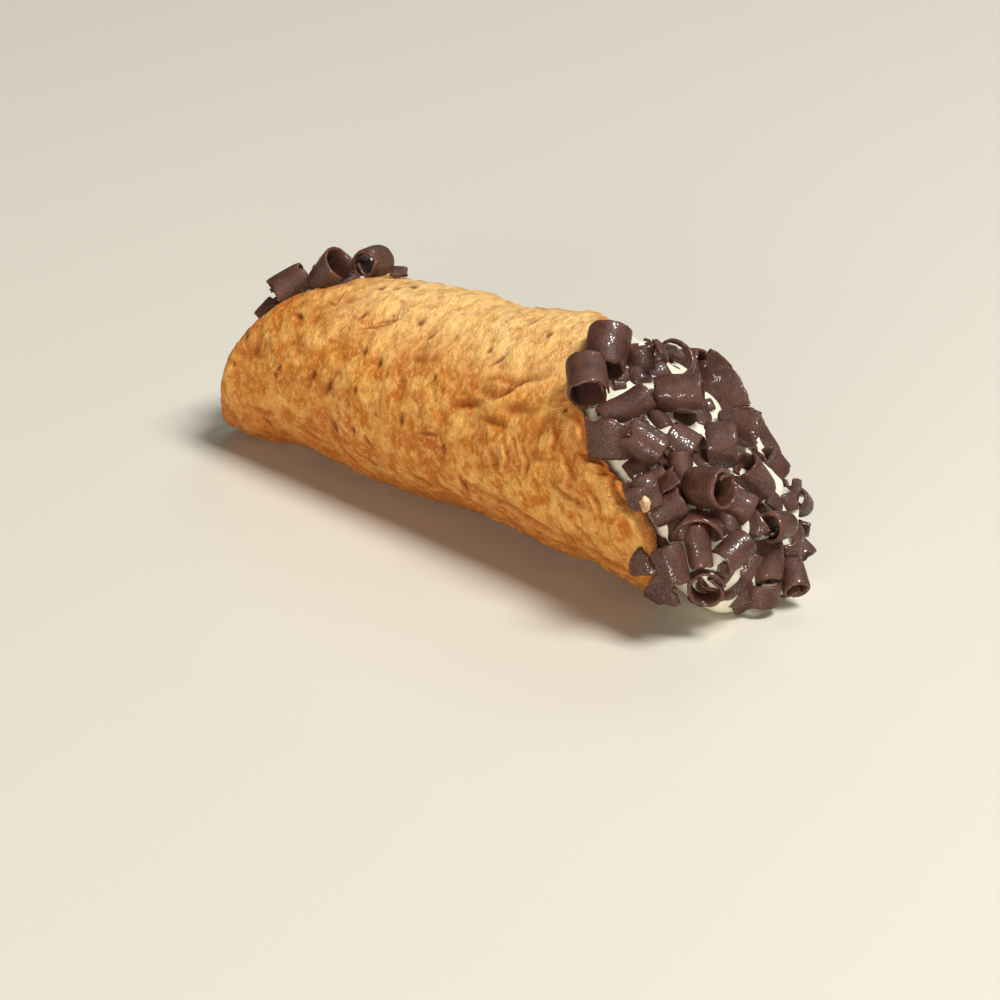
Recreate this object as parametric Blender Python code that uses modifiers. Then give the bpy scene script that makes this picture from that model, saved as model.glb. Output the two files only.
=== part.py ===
"""Cannoli: a disc of fried dough rolled into a tube, filled with cream, with chocolate curls on both ends.

Metres, +Z up. The tube lies along X on the plane Z = 0, its near end towards +X and the origin on the
flat spot under the middle of the dough disc. The dough is worked out flat first: a point of the disc is
(along, around), the way along the tube and the way round it from the bottom, and then it is wrapped.
The cream follows the inside of the dough and bulges at both ends. The curls are made one by one, each
set at its place and moved to the nearest free spot, so that they lie close together and never cut in.
"""

import math
from typing import NamedTuple

import bmesh
import bpy
from mathutils import Matrix, Vector, noise
from mathutils.bvhtree import BVHTree

# ---- Dough disc, before it is rolled ----
DISC_HALF_LENGTH = 0.067
DISC_HALF_WIDTH = 0.0656
DOUGH_THICKNESS = 0.0022
FRONT_SPREAD = 0.0055
FRONT_CORNER = 0.0120
NEAR_LIP = 0.0085
BACK_CUT = 0.0190
FOOT_CUT = 0.0120
FAR_TRIM = 0.0018
DISC_CELLS_ALONG = 20
DISC_CELLS_AROUND = 38

# ---- Tube that the dough makes ----
TUBE_RADIUS = 0.0206
TUBE_TAPER = 0.0516
PRESSED_FLAT = 0.0008
SEAM_GAP = 0.0004
FRONT_CLIMB = 0.0006
FRONT_RAMP = (145.0, 162.0)
BACK_RAMP = (155.0, 171.0)
BLISTER_HEIGHT = 0.0008
BLISTER_SPACING = 0.026

# ---- Filling ----
FILLING_GAP = 0.0008
FILLING_LEAD = 5.0
RIM_SETBACK = 0.002
RIM_CLEARANCE = 0.0008
FLOOR_GAP = 0.0004
NEAR_TIP = Vector((0.0180, 0.0035, 0.0020))
FAR_TIP = Vector((-0.0030, 0.0, 0.0015))
TOP_BELLY = 0.0110
BACK_BELLY = 0.0170
FOOT_BELLY = 0.0235
FOOT_DROOP = 0.0180
FILLING_SIDES = 36
FILLING_RINGS_INSIDE = 10
FILLING_RINGS_CROWN = 6

# ---- Chocolate curls: strips shaved off a block, which roll up on an axis ----
CURL_WALL = 0.0008
CURL_FACET = math.radians(28.0)
CURL_FLARE = 0.05
CURL_GAP = 0.0003
NEAR_HEART = Vector((0.046, 0.002, 0.022))
FAR_HEART = Vector((-0.042, 0.0, 0.019))
NEAR_PRESS = (45.0, 23.0)
BACK_PRESS = (-105.0, 20.0)
FAR_PRESS = (170.0, 50.0)
LIFT_STEP = 0.0004
LIFT_STEPS = 13
LIFT_EFFORT = 0.6
NUDGE_STEP = 0.0006
NUDGE_STEPS = 3
EFFORT_LIMIT = 0.0030
SHRINKS = (1.0, 0.94, 0.88, 0.82, 0.76)
FINE_STEP = 0.0001
SINK_LIMIT = 0.006


class Swell(NamedTuple):
    """A smooth swelling of the tube, or with a negative height a hollow.

    along and clock (degrees from the bottom, by the front) are its middle, length and spread its size.
    """

    height: float
    along: float
    length: float
    clock: float
    spread: float


SWELLS = (
    Swell(-0.0018, 0.0035, 0.0070, 198.0, 26.0),
    Swell(0.0018, -0.0580, 0.0120, 45.0, 35.0),
    Swell(-0.0015, 0.0107, 0.0140, 31.0, 30.0),
    Swell(-0.0013, 0.0437, 0.0070, 31.0, 30.0),
    Swell(-0.0010, -0.0440, 0.0060, 31.0, 30.0),
    Swell(0.0010, 0.0270, 0.0080, 195.0, 25.0),
)


class Form(NamedTuple):
    """A kind of curl: its radius, its strip's width, how far round it rolls, and what changes on the way.

    growth widens the radius towards the outer end, and point narrows the strip towards the inner one.
    """

    radius: float
    width: float
    sweep: float
    growth: float = 0.0
    point: float = 0.0


class Curl(NamedTuple):
    """A curl and where it is pressed on.

    place is its middle in millimetres, heading is degrees of its axis from +X towards +Y, tilt lifts the
    axis and roll turns the curl's back, which is uppermost at 0.
    """

    form: str
    size: float
    place: tuple
    heading: float
    tilt: float
    roll: float


FORMS = {
    "roll": Form(0.0030, 0.0085, 345.0),
    "ring": Form(0.0036, 0.0045, 345.0),
    "cuff": Form(0.0032, 0.0075, 290.0),
    "fat": Form(0.0039, 0.0085, 330.0),
    "quill": Form(0.0027, 0.0110, 345.0),
    "scroll": Form(0.0022, 0.0055, 500.0, growth=0.0024),
    "hoop": Form(0.0048, 0.0070, 200.0),
    "arch": Form(0.0044, 0.0040, 190.0),
    "tile": Form(0.0058, 0.0070, 110.0),
    "petal": Form(0.0055, 0.0090, 130.0, point=0.75),
    "flake": Form(0.0060, 0.0070, 65.0),
    "splinter": Form(0.0050, 0.0090, 35.0),
}

PASTRY_COLOUR = (0.80, 0.47, 0.17)
CREAM_COLOUR = (0.86, 0.82, 0.70)
CHOCOLATE_COLOUR = (0.055, 0.026, 0.020)

NEAR, FAR = 1, -1


# ---- The curls, in the order they are pressed on ----
NEAR_CURLS = (
    Curl("petal", 1.08, (50.5, 10, 37), 45, 15, -160),
    Curl("fat", 0.93, (38, -7, 46), 120, 45, -25),
    Curl("fat", 0.88, (42, -16.5, 42.5), -40, -30, 75),
    Curl("quill", 0.86, (47, -12, 37.5), -115, -25, 0),
    Curl("tile", 0.88, (51, -18.5, 33), 160, 80, -30),
    Curl("hoop", 0.70, (39.5, -1, 40.5), 155, 75, -90),
    Curl("scroll", 0.88, (43, 7.5, 39.5), -55, 50, -175),
    Curl("roll", 1.00, (52, -4, 37), 40, 5, 50),
    Curl("hoop", 0.79, (58, -7.5, 32.5), 30, -30, -10),
    Curl("roll", 0.86, (56, -15.5, 33.5), 30, -30, 25),
    Curl("hoop", 0.84, (62, -2.5, 30), 45, 5, 50),
    Curl("roll", 0.88, (59, 7.5, 31), 35, -5, -5),
    Curl("splinter", 0.56, (50, 17, 34.5), 15, -50, -35),
    Curl("flake", 1.12, (60.5, 16.5, 26.5), 15, -50, 5),
    Curl("hoop", 0.70, (63.5, 12.5, 22.5), -135, 55, -15),
    Curl("roll", 0.88, (67.5, 1, 25.5), -105, 55, -90),
    Curl("roll", 0.70, (69, 15.5, 16), -70, 35, -30),
    Curl("splinter", 0.84, (67, 16, 20.5), 120, 65, 90),
    Curl("hoop", 0.65, (63, -24.5, 27.5), -155, 70, -110),
    Curl("quill", 0.65, (63.5, -14, 29), 150, 65, -15),
    Curl("roll", 0.70, (66, -21, 26.5), 55, 25, 25),
    Curl("roll", 0.56, (61.5, -19, 28.5), 55, 20, 20),
    Curl("fat", 0.84, (69, -12.5, 27.5), 5, 10, 130),
    Curl("splinter", 0.93, (67, 3.5, 18.5), 20, -45, -35),
    Curl("roll", 0.79, (71.5, -8.5, 24), 45, -30, 15),
    Curl("roll", 0.93, (71, 5, 16), -85, 10, -30),
    Curl("arch", 0.93, (71.5, -18, 22.5), -50, -5, 0),
    Curl("quill", 0.78, (72, -20, 21), 155, 60, -55),
    Curl("roll", 0.82, (75.5, -15, 19), -100, -25, -5),
    Curl("flake", 0.79, (71.5, -5, 18), 60, 30, 50),
    Curl("roll", 0.79, (70, -23, 17), 170, 55, -30),
    Curl("flake", 0.70, (63, -23.5, 14), 15, -50, 90),
    Curl("flake", 0.88, (65.5, -21, 10.5), 5, -55, 90),
    Curl("ring", 0.93, (75.5, -18.5, 13.8), -45, -5, 90),
    Curl("flake", 0.70, (74, -10, 13.5), 80, 55, 45),
    Curl("roll", 0.84, (71.5, 1, 9.5), 145, 55, -10),
    Curl("hoop", 0.76, (72, -3, 4.5), 20, 85, 115),
    Curl("roll", 0.86, (73.5, 4.5, 7.5), -30, -35, -25),
    Curl("hoop", 0.58, (72, 14, 7), 0, -45, -55),
    Curl("flake", 0.84, (68, 13, 9.5), 30, -10, 115),
)
BACK_CURLS = (
    Curl("roll", 0.88, (53, 21, 12.5), 30, 20, 0),
    Curl("hoop", 0.74, (46.5, 20.5, 22.5), -40, 30, 0),
    Curl("roll", 0.93, (42, 20, 29), 80, -10, 0),
    Curl("roll", 0.84, (43, 24, 12), 10, 50, 0),
    Curl("tile", 0.84, (32, 24.5, 24), 60, 10, -40),
    Curl("roll", 0.84, (35, 17.5, 35), 20, 15, 0),
    Curl("tile", 0.79, (36, 10, 38.5), 110, -20, 0),
    Curl("roll", 0.79, (34.5, 23.5, 12), -70, 20, 0),
)
FAR_CURLS = (
    Curl("roll", 0.88, (-49.5, -7, 33.5), 60, 30, 30),
    Curl("cuff", 0.95, (-41.5, -3.5, 39), 15, 45, 0),
    Curl("roll", 0.88, (-34, 2.5, 38.5), 105, -10, 0),
    Curl("flake", 0.52, (-30.5, 3, 42.5), 45, 0, 15),
    Curl("flake", 0.65, (-53.5, -10, 31), 65, 35, 10),
    Curl("roll", 0.88, (-62.5, -2, 19.5), 70, 30, 0),
    Curl("roll", 0.93, (-61, 11, 24.5), 110, 10, 0),
    Curl("hoop", 0.79, (-57.5, -5, 26), 30, 30, 0),
    Curl("fat", 0.84, (-52.5, 6.5, 32), 60, -20, 0),
    Curl("tile", 0.79, (-45, 3.5, 32.5), 140, 10, 0),
)


# ---------------------------------------------------------------- small helpers


def clear_scene():
    """Removes whatever the file was opened with."""
    for obj in list(bpy.data.objects):
        bpy.data.objects.remove(obj)


def new_collection(name):
    """A collection linked to the scene."""
    collection = bpy.data.collections.new(name)
    bpy.context.scene.collection.children.link(collection)
    return collection


def new_material(name, colour, roughness):
    """A plain Principled material."""
    material = bpy.data.materials.new(name)
    material.use_nodes = True
    shader = material.node_tree.nodes["Principled BSDF"]
    shader.inputs["Base Color"].default_value = (*colour, 1.0)
    shader.inputs["Roughness"].default_value = roughness
    shader.inputs["Metallic"].default_value = 0.0
    return material


def object_from_bmesh(name, bm, collection, material):
    """Turns a bmesh into a named, smooth-shaded object."""
    mesh = bpy.data.meshes.new(name)
    bm.to_mesh(mesh)
    bm.free()
    mesh.shade_smooth()
    mesh.materials.append(material)
    obj = bpy.data.objects.new(name, mesh)
    collection.objects.link(obj)
    return obj


def average(points):
    """The middle of some points."""
    points = list(points)
    return sum(points, Vector()) / len(points)


def smoothstep(low, high, value):
    """0 below low, 1 above high, and a smooth rise between."""
    t = min(1.0, max(0.0, (value - low) / (high - low)))
    return t * t * (3.0 - 2.0 * t)


def bell(centre, width, value):
    """A smooth hump of height 1 at centre, which has all but gone two widths away."""
    return math.exp(-(((value - centre) / width) ** 2))


# ---------------------------------------------------------------- the rolled dough


def disc_reach(direction):
    """How far the disc's edge is from its middle at this angle, where 0 is +X and 90 degrees the front."""
    across = math.hypot(math.cos(direction) / DISC_HALF_LENGTH, math.sin(direction) / DISC_HALF_WIDTH)
    degrees = math.degrees(direction)
    spread = FRONT_SPREAD * (smoothstep(73.0, 86.0, degrees) - smoothstep(108.0, 128.0, degrees))
    corner = FRONT_CORNER * bell(69.0, 9.0, degrees)
    lip = NEAR_LIP * bell(29.0, 8.0, degrees)
    back_to_foot = smoothstep(-42.0, -15.0, degrees)
    back_cut = BACK_CUT * (smoothstep(-73.0, -57.0, degrees) - back_to_foot)
    foot_cut = FOOT_CUT * (back_to_foot - smoothstep(9.0, 21.0, degrees))
    far_trim = FAR_TRIM * bell(162.0, 12.0, degrees)
    wobble = 0.0004 * math.sin(11.0 * direction) + 0.0003 * math.sin(19.0 * direction + 1.0)
    return 1.0 / across + spread + corner + lip - back_cut - foot_cut - far_trim + wobble


def tube_radius(along):
    """Radius of the middle of the dough, which widens towards the near end."""
    return TUBE_RADIUS + TUBE_TAPER * along


def swell(along, turn):
    """How far out the fried tube has swollen here: low blisters and the named swells."""
    where = Vector((along, TUBE_RADIUS * math.cos(turn), TUBE_RADIUS * math.sin(turn))) / BLISTER_SPACING
    out = BLISTER_HEIGHT * noise.noise(where)
    clock = math.degrees(turn) % 360.0
    for part in SWELLS:
        out += part.height * bell(part.along, part.length, along) * bell(part.clock, part.spread, clock)
    return out


def back_step(clock):
    """How far in the back flap sinks to pass under the front one, at this clock from the bottom."""
    return (FRONT_CLIMB - DOUGH_THICKNESS - SEAM_GAP) * smoothstep(*BACK_RAMP, clock)


def seam_step(along, around):
    """The front flap climbs a little, and the back flap sinks under it, with a slit between."""
    clock = math.degrees(around / tube_radius(along))
    return FRONT_CLIMB * smoothstep(*FRONT_RAMP, clock) if around > 0.0 else back_step(-clock)


def tube_point(along, turn, outwards):
    """A point at this turn from the bottom, positive to the front, and this far out of the dough's middle."""
    radius = tube_radius(along)
    reach = radius + swell(along, turn) + outwards
    height = radius + DOUGH_THICKNESS / 2.0 - PRESSED_FLAT
    return Vector((along, -reach * math.sin(turn), height - reach * math.cos(turn)))


def wrapped_dough(along, around):
    """Where a point of the flat disc lies once the dough is rolled."""
    point = tube_point(along, around / tube_radius(along), seam_step(along, around))
    point.z = max(point.z, DOUGH_THICKNESS / 2.0)
    return point


def build_shell(collection, material):
    """The dough: a round grid, wrapped, then thickened."""
    bm = bmesh.new()
    bmesh.ops.create_grid(bm, x_segments=DISC_CELLS_ALONG, y_segments=DISC_CELLS_AROUND, size=1.0)
    for vertex in bm.verts:
        u, v = vertex.co.x, vertex.co.y
        round_u = u * math.sqrt(1.0 - v * v / 2.0)
        round_v = v * math.sqrt(1.0 - u * u / 2.0)
        direction = math.atan2(round_v, round_u)
        reach = disc_reach(direction) * math.hypot(round_u, round_v)
        vertex.co = wrapped_dough(reach * math.cos(direction), reach * math.sin(direction))
    bmesh.ops.recalc_face_normals(bm, faces=bm.faces)
    shell = object_from_bmesh("shell", bm, collection, material)
    thickness = shell.modifiers.new("dough_thickness", "SOLIDIFY")
    thickness.thickness = DOUGH_THICKNESS
    thickness.offset = 0.0
    thickness.use_even_offset = True
    return shell


# ---------------------------------------------------------------- the filling


def inside_disc(along, around):
    """Whether the flat disc holds this point."""
    return math.hypot(along, around) <= disc_reach(math.atan2(around, along))


def rim_along(turn, end):
    """How far along the tube the dough's rim is at this turn, at the near or the far end."""
    low, high = 0.0, 0.09
    for _ in range(30):
        middle = (low + high) / 2.0
        along = end * middle
        radius = tube_radius(along)
        if inside_disc(along, turn * radius) or inside_disc(along, (turn - 2.0 * math.pi) * radius):
            low = middle
        else:
            high = middle
    return end * low


def filling_wall(along, turn):
    """A point of the filling against the inside of the dough, sinking just ahead of the back flap."""
    inwards = back_step(math.degrees(2.0 * math.pi - turn) + FILLING_LEAD)
    point = tube_point(along, turn, inwards - DOUGH_THICKNESS / 2.0 - FILLING_GAP)
    point.z = max(point.z, DOUGH_THICKNESS + FILLING_GAP)
    return point


def crown_ring(turns, end, share):
    """One ring of the filling's bulging end, on arcs from the rim (share 0) to the tip (share 1)."""
    rims = [filling_wall(rim_along(turn, end) + end * RIM_CLEARANCE, turn) for turn in turns]
    tip = average(rims) + (NEAR_TIP if end == NEAR else FAR_TIP)
    if share > 0.0:
        rims = [average(rims[(i + k) % len(rims)] for k in (-2, -1, 0, 1, 2)) for i in range(len(rims))]
    ring = []
    for turn, rim in zip(turns, rims):
        low = (1.0 + math.cos(turn)) / 2.0
        belly = Vector((0.0, 0.0, 0.0))
        if end == NEAR:
            forward = TOP_BELLY + (FOOT_BELLY - TOP_BELLY) * low**1.5
            forward += BACK_BELLY * max(0.0, -math.sin(turn))
            belly = Vector((forward, 0.0, -FOOT_DROOP * low**2))
        point = rim * (1.0 - share) ** 2 + (rim + belly) * (2.0 * share * (1.0 - share)) + tip * share**2
        point.z = max(point.z, FLOOR_GAP)
        ring.append(point)
    return ring


def build_filling(collection, material):
    """The cream: rings from the far bulge, through the tube, to the near bulge."""
    turns = [2.0 * math.pi * (i + 0.5) / FILLING_SIDES for i in range(FILLING_SIDES)]
    shares = [i / FILLING_RINGS_CROWN for i in range(FILLING_RINGS_CROWN)]
    rings = [crown_ring(turns, FAR, share) for share in reversed(shares)]
    for step in range(FILLING_RINGS_INSIDE + 1):
        share = step / FILLING_RINGS_INSIDE
        ring = []
        for turn in turns:
            far, near = rim_along(turn, FAR) + RIM_SETBACK, rim_along(turn, NEAR) - RIM_SETBACK
            ring.append(filling_wall((1.0 - share) * far + share * near, turn))
        rings.append(ring)
    rings += [crown_ring(turns, NEAR, share) for share in shares]
    tips = [crown_ring(turns, end, 1.0)[0] for end in (FAR, NEAR)]

    bm = bmesh.new()
    loops = [[bm.verts.new(point) for point in ring] for ring in rings]
    for first, second in zip(loops, loops[1:]):
        for i in range(FILLING_SIDES):
            j = (i + 1) % FILLING_SIDES
            bm.faces.new((first[i], first[j], second[j], second[i]))
    for loop, tip in ((loops[0], tips[0]), (loops[-1], tips[1])):
        centre = bm.verts.new(tip)
        for i in range(FILLING_SIDES):
            bm.faces.new((loop[i], loop[(i + 1) % FILLING_SIDES], centre))
    bmesh.ops.recalc_face_normals(bm, faces=bm.faces)
    return object_from_bmesh("filling", bm, collection, material)


# ---------------------------------------------------------------- the chocolate curls


def curl_bmesh(form, size):
    """A curl about its own axis, which is Y, with the middle of its strip (its back) towards +X."""
    steps = max(2, round(math.radians(form.sweep) / CURL_FACET))
    bm = bmesh.new()
    sections = []
    for step in range(steps + 1):
        share = step / steps
        angle = math.radians(form.sweep) * (share - 0.5)
        half = form.width * size / 2.0 * (1.0 - form.point * (1.0 - share) ** 2)
        section = []
        for wall, side in ((-1, -1), (1, -1), (1, 1), (-1, 1)):
            radius = (form.radius * size + form.growth * size * share) * (1.0 + CURL_FLARE * side)
            radius += wall * CURL_WALL / 2.0
            section.append(bm.verts.new((radius * math.cos(angle), side * half, radius * math.sin(angle))))
        sections.append(section)
    for first, second in zip(sections, sections[1:]):
        for i in range(4):
            bm.faces.new((first[i], first[(i + 1) % 4], second[(i + 1) % 4], second[i]))
    bm.faces.new(sections[0])
    bm.faces.new(sections[-1])
    bmesh.ops.recalc_face_normals(bm, faces=bm.faces)
    across = [vertex.co.x for vertex in bm.verts]
    bmesh.ops.translate(bm, verts=bm.verts, vec=(-(min(across) + max(across)) / 2.0, 0.0, 0.0))
    return bm


def direction_to(bearing, height):
    """The unit vector at this bearing and height."""
    bearing, height = math.radians(bearing), math.radians(height)
    level = math.cos(height)
    return Vector((level * math.cos(bearing), -level * math.sin(bearing), math.sin(height)))


def curl_turn(curl):
    """Turns a curl from its own frame to how it lies on the cannoli."""
    axis = direction_to(-curl.heading, curl.tilt)
    upright = (Vector((0.0, 0.0, 1.0)) - axis * axis.z).normalized()
    back = Matrix.Rotation(math.radians(curl.roll), 3, axis) @ upright
    return Matrix((back, axis, back.cross(axis))).transposed().to_4x4()


def inflated(bm, distance):
    """A copy of a bmesh with every vertex pushed out along its normal."""
    copy = bm.copy()
    copy.normal_update()
    for vertex in copy.verts:
        vertex.co += vertex.normal * distance
    return copy


def touches(padded, where, placed):
    """Whether a padded curl here touches a placed piece or the plane Z = 0, or lies inside the food."""
    shell, filling = placed[:2]
    for solid in (shell, filling):
        nearest, normal, _, _ = solid.find_nearest(where)
        if (where - nearest).dot(normal) < 0.0:
            return True
    moved = padded.copy()
    moved.transform(Matrix.Translation(where))
    tree = BVHTree.FromBMesh(moved)
    low = min(vertex.co.z for vertex in moved.verts)
    moved.free()
    return low < 0.0 or any(tree.overlap(other) for other in placed)


def slide(padded, where, step, limit, placed):
    """Moves a free curl by steps until the next one would touch; gives up after the limit."""
    for _ in range(round(limit / step.length)):
        if touches(padded, where + step, placed):
            return where, True
        where = where + step
    return where, False


def both_ways(step, count):
    """0, then steps to each side, nearest first."""
    return [0.0] + [side * step * number for number in range(1, count + 1) for side in (-1.0, 1.0)]


def free_spot(padded, place, outwards, placed):
    """The free spot that takes the least effort to reach from a place: (effort, spot), or None."""
    sideways = outwards.cross(Vector((0.0, 0.0, 1.0))).normalized()
    upwards = sideways.cross(outwards)
    nudges = both_ways(NUDGE_STEP, NUDGE_STEPS)
    best = None
    for across in nudges:
        for along in nudges:
            where = place + sideways * across + upwards * along
            for lift in both_ways(LIFT_STEP, LIFT_STEPS):
                effort = LIFT_EFFORT * abs(lift) + math.hypot(across, along)
                if best is not None and effort >= best[0]:
                    break
                if not touches(padded, where + outwards * lift, placed):
                    best = (effort, where + outwards * lift)
                    break
    return best


def settle(curl, press, heart, placed):
    """Presses a curl on: the nearest free spot is found, then it is let in until it would touch.

    Where there is no room near its place, a smaller curl goes there.
    """
    outwards = direction_to(*press)
    for shrink in SHRINKS:
        bm = curl_bmesh(FORMS[curl.form], curl.size * shrink)
        bm.transform(curl_turn(curl))
        padded = inflated(bm, CURL_GAP)
        spot = free_spot(padded, Vector(curl.place) / 1000.0, outwards, placed)
        if spot is not None and (spot[0] <= EFFORT_LIMIT or shrink == SHRINKS[-1]):
            break
        padded.free()
        bm.free()
    where, rests = slide(padded, spot[1], -outwards * FINE_STEP, SINK_LIMIT, placed)
    if not rests:
        where, rests = slide(padded, where, (heart - where).normalized() * FINE_STEP, SINK_LIMIT, placed)
    padded.free()
    bm.transform(Matrix.Translation(where))
    return bm


def evaluated_bmesh(obj):
    """A bmesh of an object with its modifiers applied."""
    graph = bpy.context.evaluated_depsgraph_get()
    bm = bmesh.new()
    bm.from_mesh(obj.evaluated_get(graph).to_mesh())
    return bm


def build_curls(collection, material, resting_on):
    """Every curl, each pressed on over the pieces before it."""
    placed = []
    for obj in resting_on:
        bm = evaluated_bmesh(obj)
        placed.append(BVHTree.FromBMesh(bm))
        bm.free()
    for end, press, heart, curls in (
        ("near", NEAR_PRESS, NEAR_HEART, NEAR_CURLS),
        ("back", BACK_PRESS, NEAR_HEART, BACK_CURLS),
        ("far", FAR_PRESS, FAR_HEART, FAR_CURLS),
    ):
        for number, curl in enumerate(curls, start=1):
            bm = settle(curl, press, heart, placed)
            placed.append(BVHTree.FromBMesh(bm))
            object_from_bmesh(f"{end}_curl_{number:02d}", bm, collection, material)


def main():
    """Builds the cannoli."""
    clear_scene()
    parts = new_collection("cannoli")
    pastry = new_material("pastry", PASTRY_COLOUR, 0.6)
    cream = new_material("cream", CREAM_COLOUR, 0.45)
    chocolate = new_material("chocolate", CHOCOLATE_COLOUR, 0.4)
    shell = build_shell(parts, pastry)
    filling = build_filling(parts, cream)
    build_curls(parts, chocolate, (shell, filling))


main()
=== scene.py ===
"""The looks of a cannoli: a fried tube of dough, sweet cream and dark chocolate curls.

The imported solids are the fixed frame. The dough is wrapped again from the same sizes on a fine
net, with its blisters, pits and creases as real relief. The cream is the solid filling, grown up
against the curls. Each curl is rolled again from a thin ragged strip and laid where the frame has
it, and broken chips and a crumb of nut lie between the curls. Lengths are in metres, unless a
docstring says millimetres.
"""

import logging
import math
import random
from dataclasses import dataclass
from enum import Enum
from typing import Callable, NamedTuple, Sequence, TypeVar

import bmesh
import bpy
import numpy as np
from mathutils import Matrix, Vector, noise
from mathutils.bvhtree import BVHTree


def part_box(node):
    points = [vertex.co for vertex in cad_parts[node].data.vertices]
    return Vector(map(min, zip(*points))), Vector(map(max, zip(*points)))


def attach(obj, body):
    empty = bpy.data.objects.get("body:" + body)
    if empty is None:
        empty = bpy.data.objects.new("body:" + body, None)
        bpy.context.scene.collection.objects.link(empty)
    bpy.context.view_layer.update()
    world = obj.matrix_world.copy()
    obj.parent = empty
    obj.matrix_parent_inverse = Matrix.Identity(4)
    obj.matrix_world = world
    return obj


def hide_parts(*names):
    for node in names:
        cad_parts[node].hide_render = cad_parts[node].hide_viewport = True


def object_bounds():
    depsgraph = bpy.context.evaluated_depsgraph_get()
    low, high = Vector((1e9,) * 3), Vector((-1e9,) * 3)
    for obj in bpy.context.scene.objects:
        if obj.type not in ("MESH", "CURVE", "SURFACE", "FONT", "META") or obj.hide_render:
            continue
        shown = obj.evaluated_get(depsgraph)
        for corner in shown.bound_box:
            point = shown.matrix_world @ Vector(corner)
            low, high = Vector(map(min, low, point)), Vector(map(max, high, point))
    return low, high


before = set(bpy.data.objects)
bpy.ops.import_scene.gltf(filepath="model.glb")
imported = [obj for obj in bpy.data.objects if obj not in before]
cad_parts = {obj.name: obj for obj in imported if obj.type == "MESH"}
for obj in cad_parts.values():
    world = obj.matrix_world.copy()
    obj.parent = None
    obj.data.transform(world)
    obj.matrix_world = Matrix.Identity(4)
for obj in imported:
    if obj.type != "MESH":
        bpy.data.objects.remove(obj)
cad_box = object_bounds()

LOG = logging.getLogger("cannoli")
MM = 0.001
BODY = "root"
BOX_GAP = 0.0001
FAR_ROOM = 0.0019

Array = np.ndarray
Piece = bpy.types.Object
Material = bpy.types.Material
Nodes = bpy.types.NodeTree
Socket = bpy.types.NodeSocket
Faces = list[tuple[int, ...]]
Pair = tuple[float, float]
Span = Pair
Triple = tuple[float, float, float]
Colour = Triple
Spot = Triple
Row = TypeVar("Row")


# ------------------------------------------------------------------ small helpers


def rows(kind: Callable[..., Row], *values: Sequence) -> tuple[Row, ...]:
    """Makes one thing of this kind from each row of values."""
    return tuple(kind(*row) for row in values)


def smoothstep(low: float, high: float, value: Array | float) -> Array:
    """A smooth rise from 0 at low to 1 at high, or a fall where low is the higher."""
    t = np.clip((value - low) / (high - low), 0.0, 1.0)
    return t * t * (3.0 - 2.0 * t)


def bell(centre: float, width: float | Array, value: Array) -> Array:
    """A smooth hump of height 1 at centre, which has all but gone two widths away."""
    return np.exp(-(((value - centre) / width) ** 2))


def noise_at(points: Array, spacing: float | Sequence[float], seed: float = 0.0) -> Array:
    """Smooth noise of this spacing at each of many points, about -1 to 1; seed shifts it."""
    shifted = points / np.asarray(spacing) + np.array((seed, seed * 1.7, seed * 2.3))
    return np.array([noise.noise(Vector(point)) for point in shifted.tolist()])


class Wave(NamedTuple):
    """One field of lumps: how high they are, how far apart, and what makes the field its own."""

    height: float
    spacing: float | Triple
    seed: float


Waves = tuple[Wave, ...]


def waves_at(points: Array, waves: Waves, seed: float = 0.0, folded: bool = False) -> Array:
    """The sum of some fields of lumps at each of many points.

    Args:
        points: Points, one a row.
        waves: The fields.
        seed: Shifts all the fields alike.
        folded: Whether the lows are folded up to highs, which makes a field jagged.

    Returns:
        One value a point.
    """
    total = np.zeros(len(points))
    for wave in waves:
        field = noise_at(points, wave.spacing, seed + wave.seed)
        total += wave.height * (np.abs(field) if folded else field)
    return total


def kept_in(along: Array) -> Array:
    """Keeps the far end inside the frame's box, by easing back what would pass it.

    Args:
        along: The way along the tube.

    Returns:
        The same, no further out than the box.
    """
    start = cad_box[0][0] + BOX_GAP + FAR_ROOM
    over = np.clip(start - along, 0.0, None)
    return start - FAR_ROOM * np.tanh(over / FAR_ROOM) + np.clip(along - start, 0.0, None)


def in_box(points: Array) -> Array:
    """The same points, brought inside the frame's box where they pass it."""
    low, high = (np.array(corner) for corner in cad_box)
    return np.clip(points, low + BOX_GAP, high - BOX_GAP)


def mesh_object(name: str, vertices: Array, faces: Faces) -> Piece:
    """Makes a smooth-shaded mesh object in the scene.

    Args:
        name: Its name.
        vertices: Points, one a row.
        faces: Vertex numbers of each face.

    Returns:
        The new object.
    """
    mesh = bpy.data.meshes.new(name)
    mesh.from_pydata(vertices.tolist(), [], faces)
    return placed(name, mesh)


def placed(name: str, mesh: bpy.types.Mesh) -> Piece:
    """Shades a mesh smooth and puts it in the scene as an object of this name.

    Args:
        name: The object's name.
        mesh: Its mesh.

    Returns:
        The new object.
    """
    mesh.shade_smooth()
    piece = bpy.data.objects.new(name, mesh)
    bpy.context.scene.collection.objects.link(piece)
    return piece


def mark(piece: Piece, name: str, values: Array) -> None:
    """Stores a value at each vertex, for the finish to read by name."""
    layer = piece.data.attributes.new(name, "FLOAT", "POINT")
    layer.data.foreach_set("value", np.asarray(values, dtype=np.float32))


def read_rows(values: bpy.types.bpy_prop_collection, label: str) -> Array:
    """A mesh's vectors of this name, one a row.

    Args:
        values: The mesh's vertices or their normals.
        label: What is read of each.

    Returns:
        The vectors, one a row.
    """
    flat = np.empty(len(values) * 3, dtype=np.float32)
    values.foreach_get(label, flat)
    return flat.reshape(-1, 3).astype(float)


def points_of(mesh: bpy.types.Mesh) -> Array:
    """The mesh's vertices, one a row."""
    return read_rows(mesh.vertices, "co")


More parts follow.
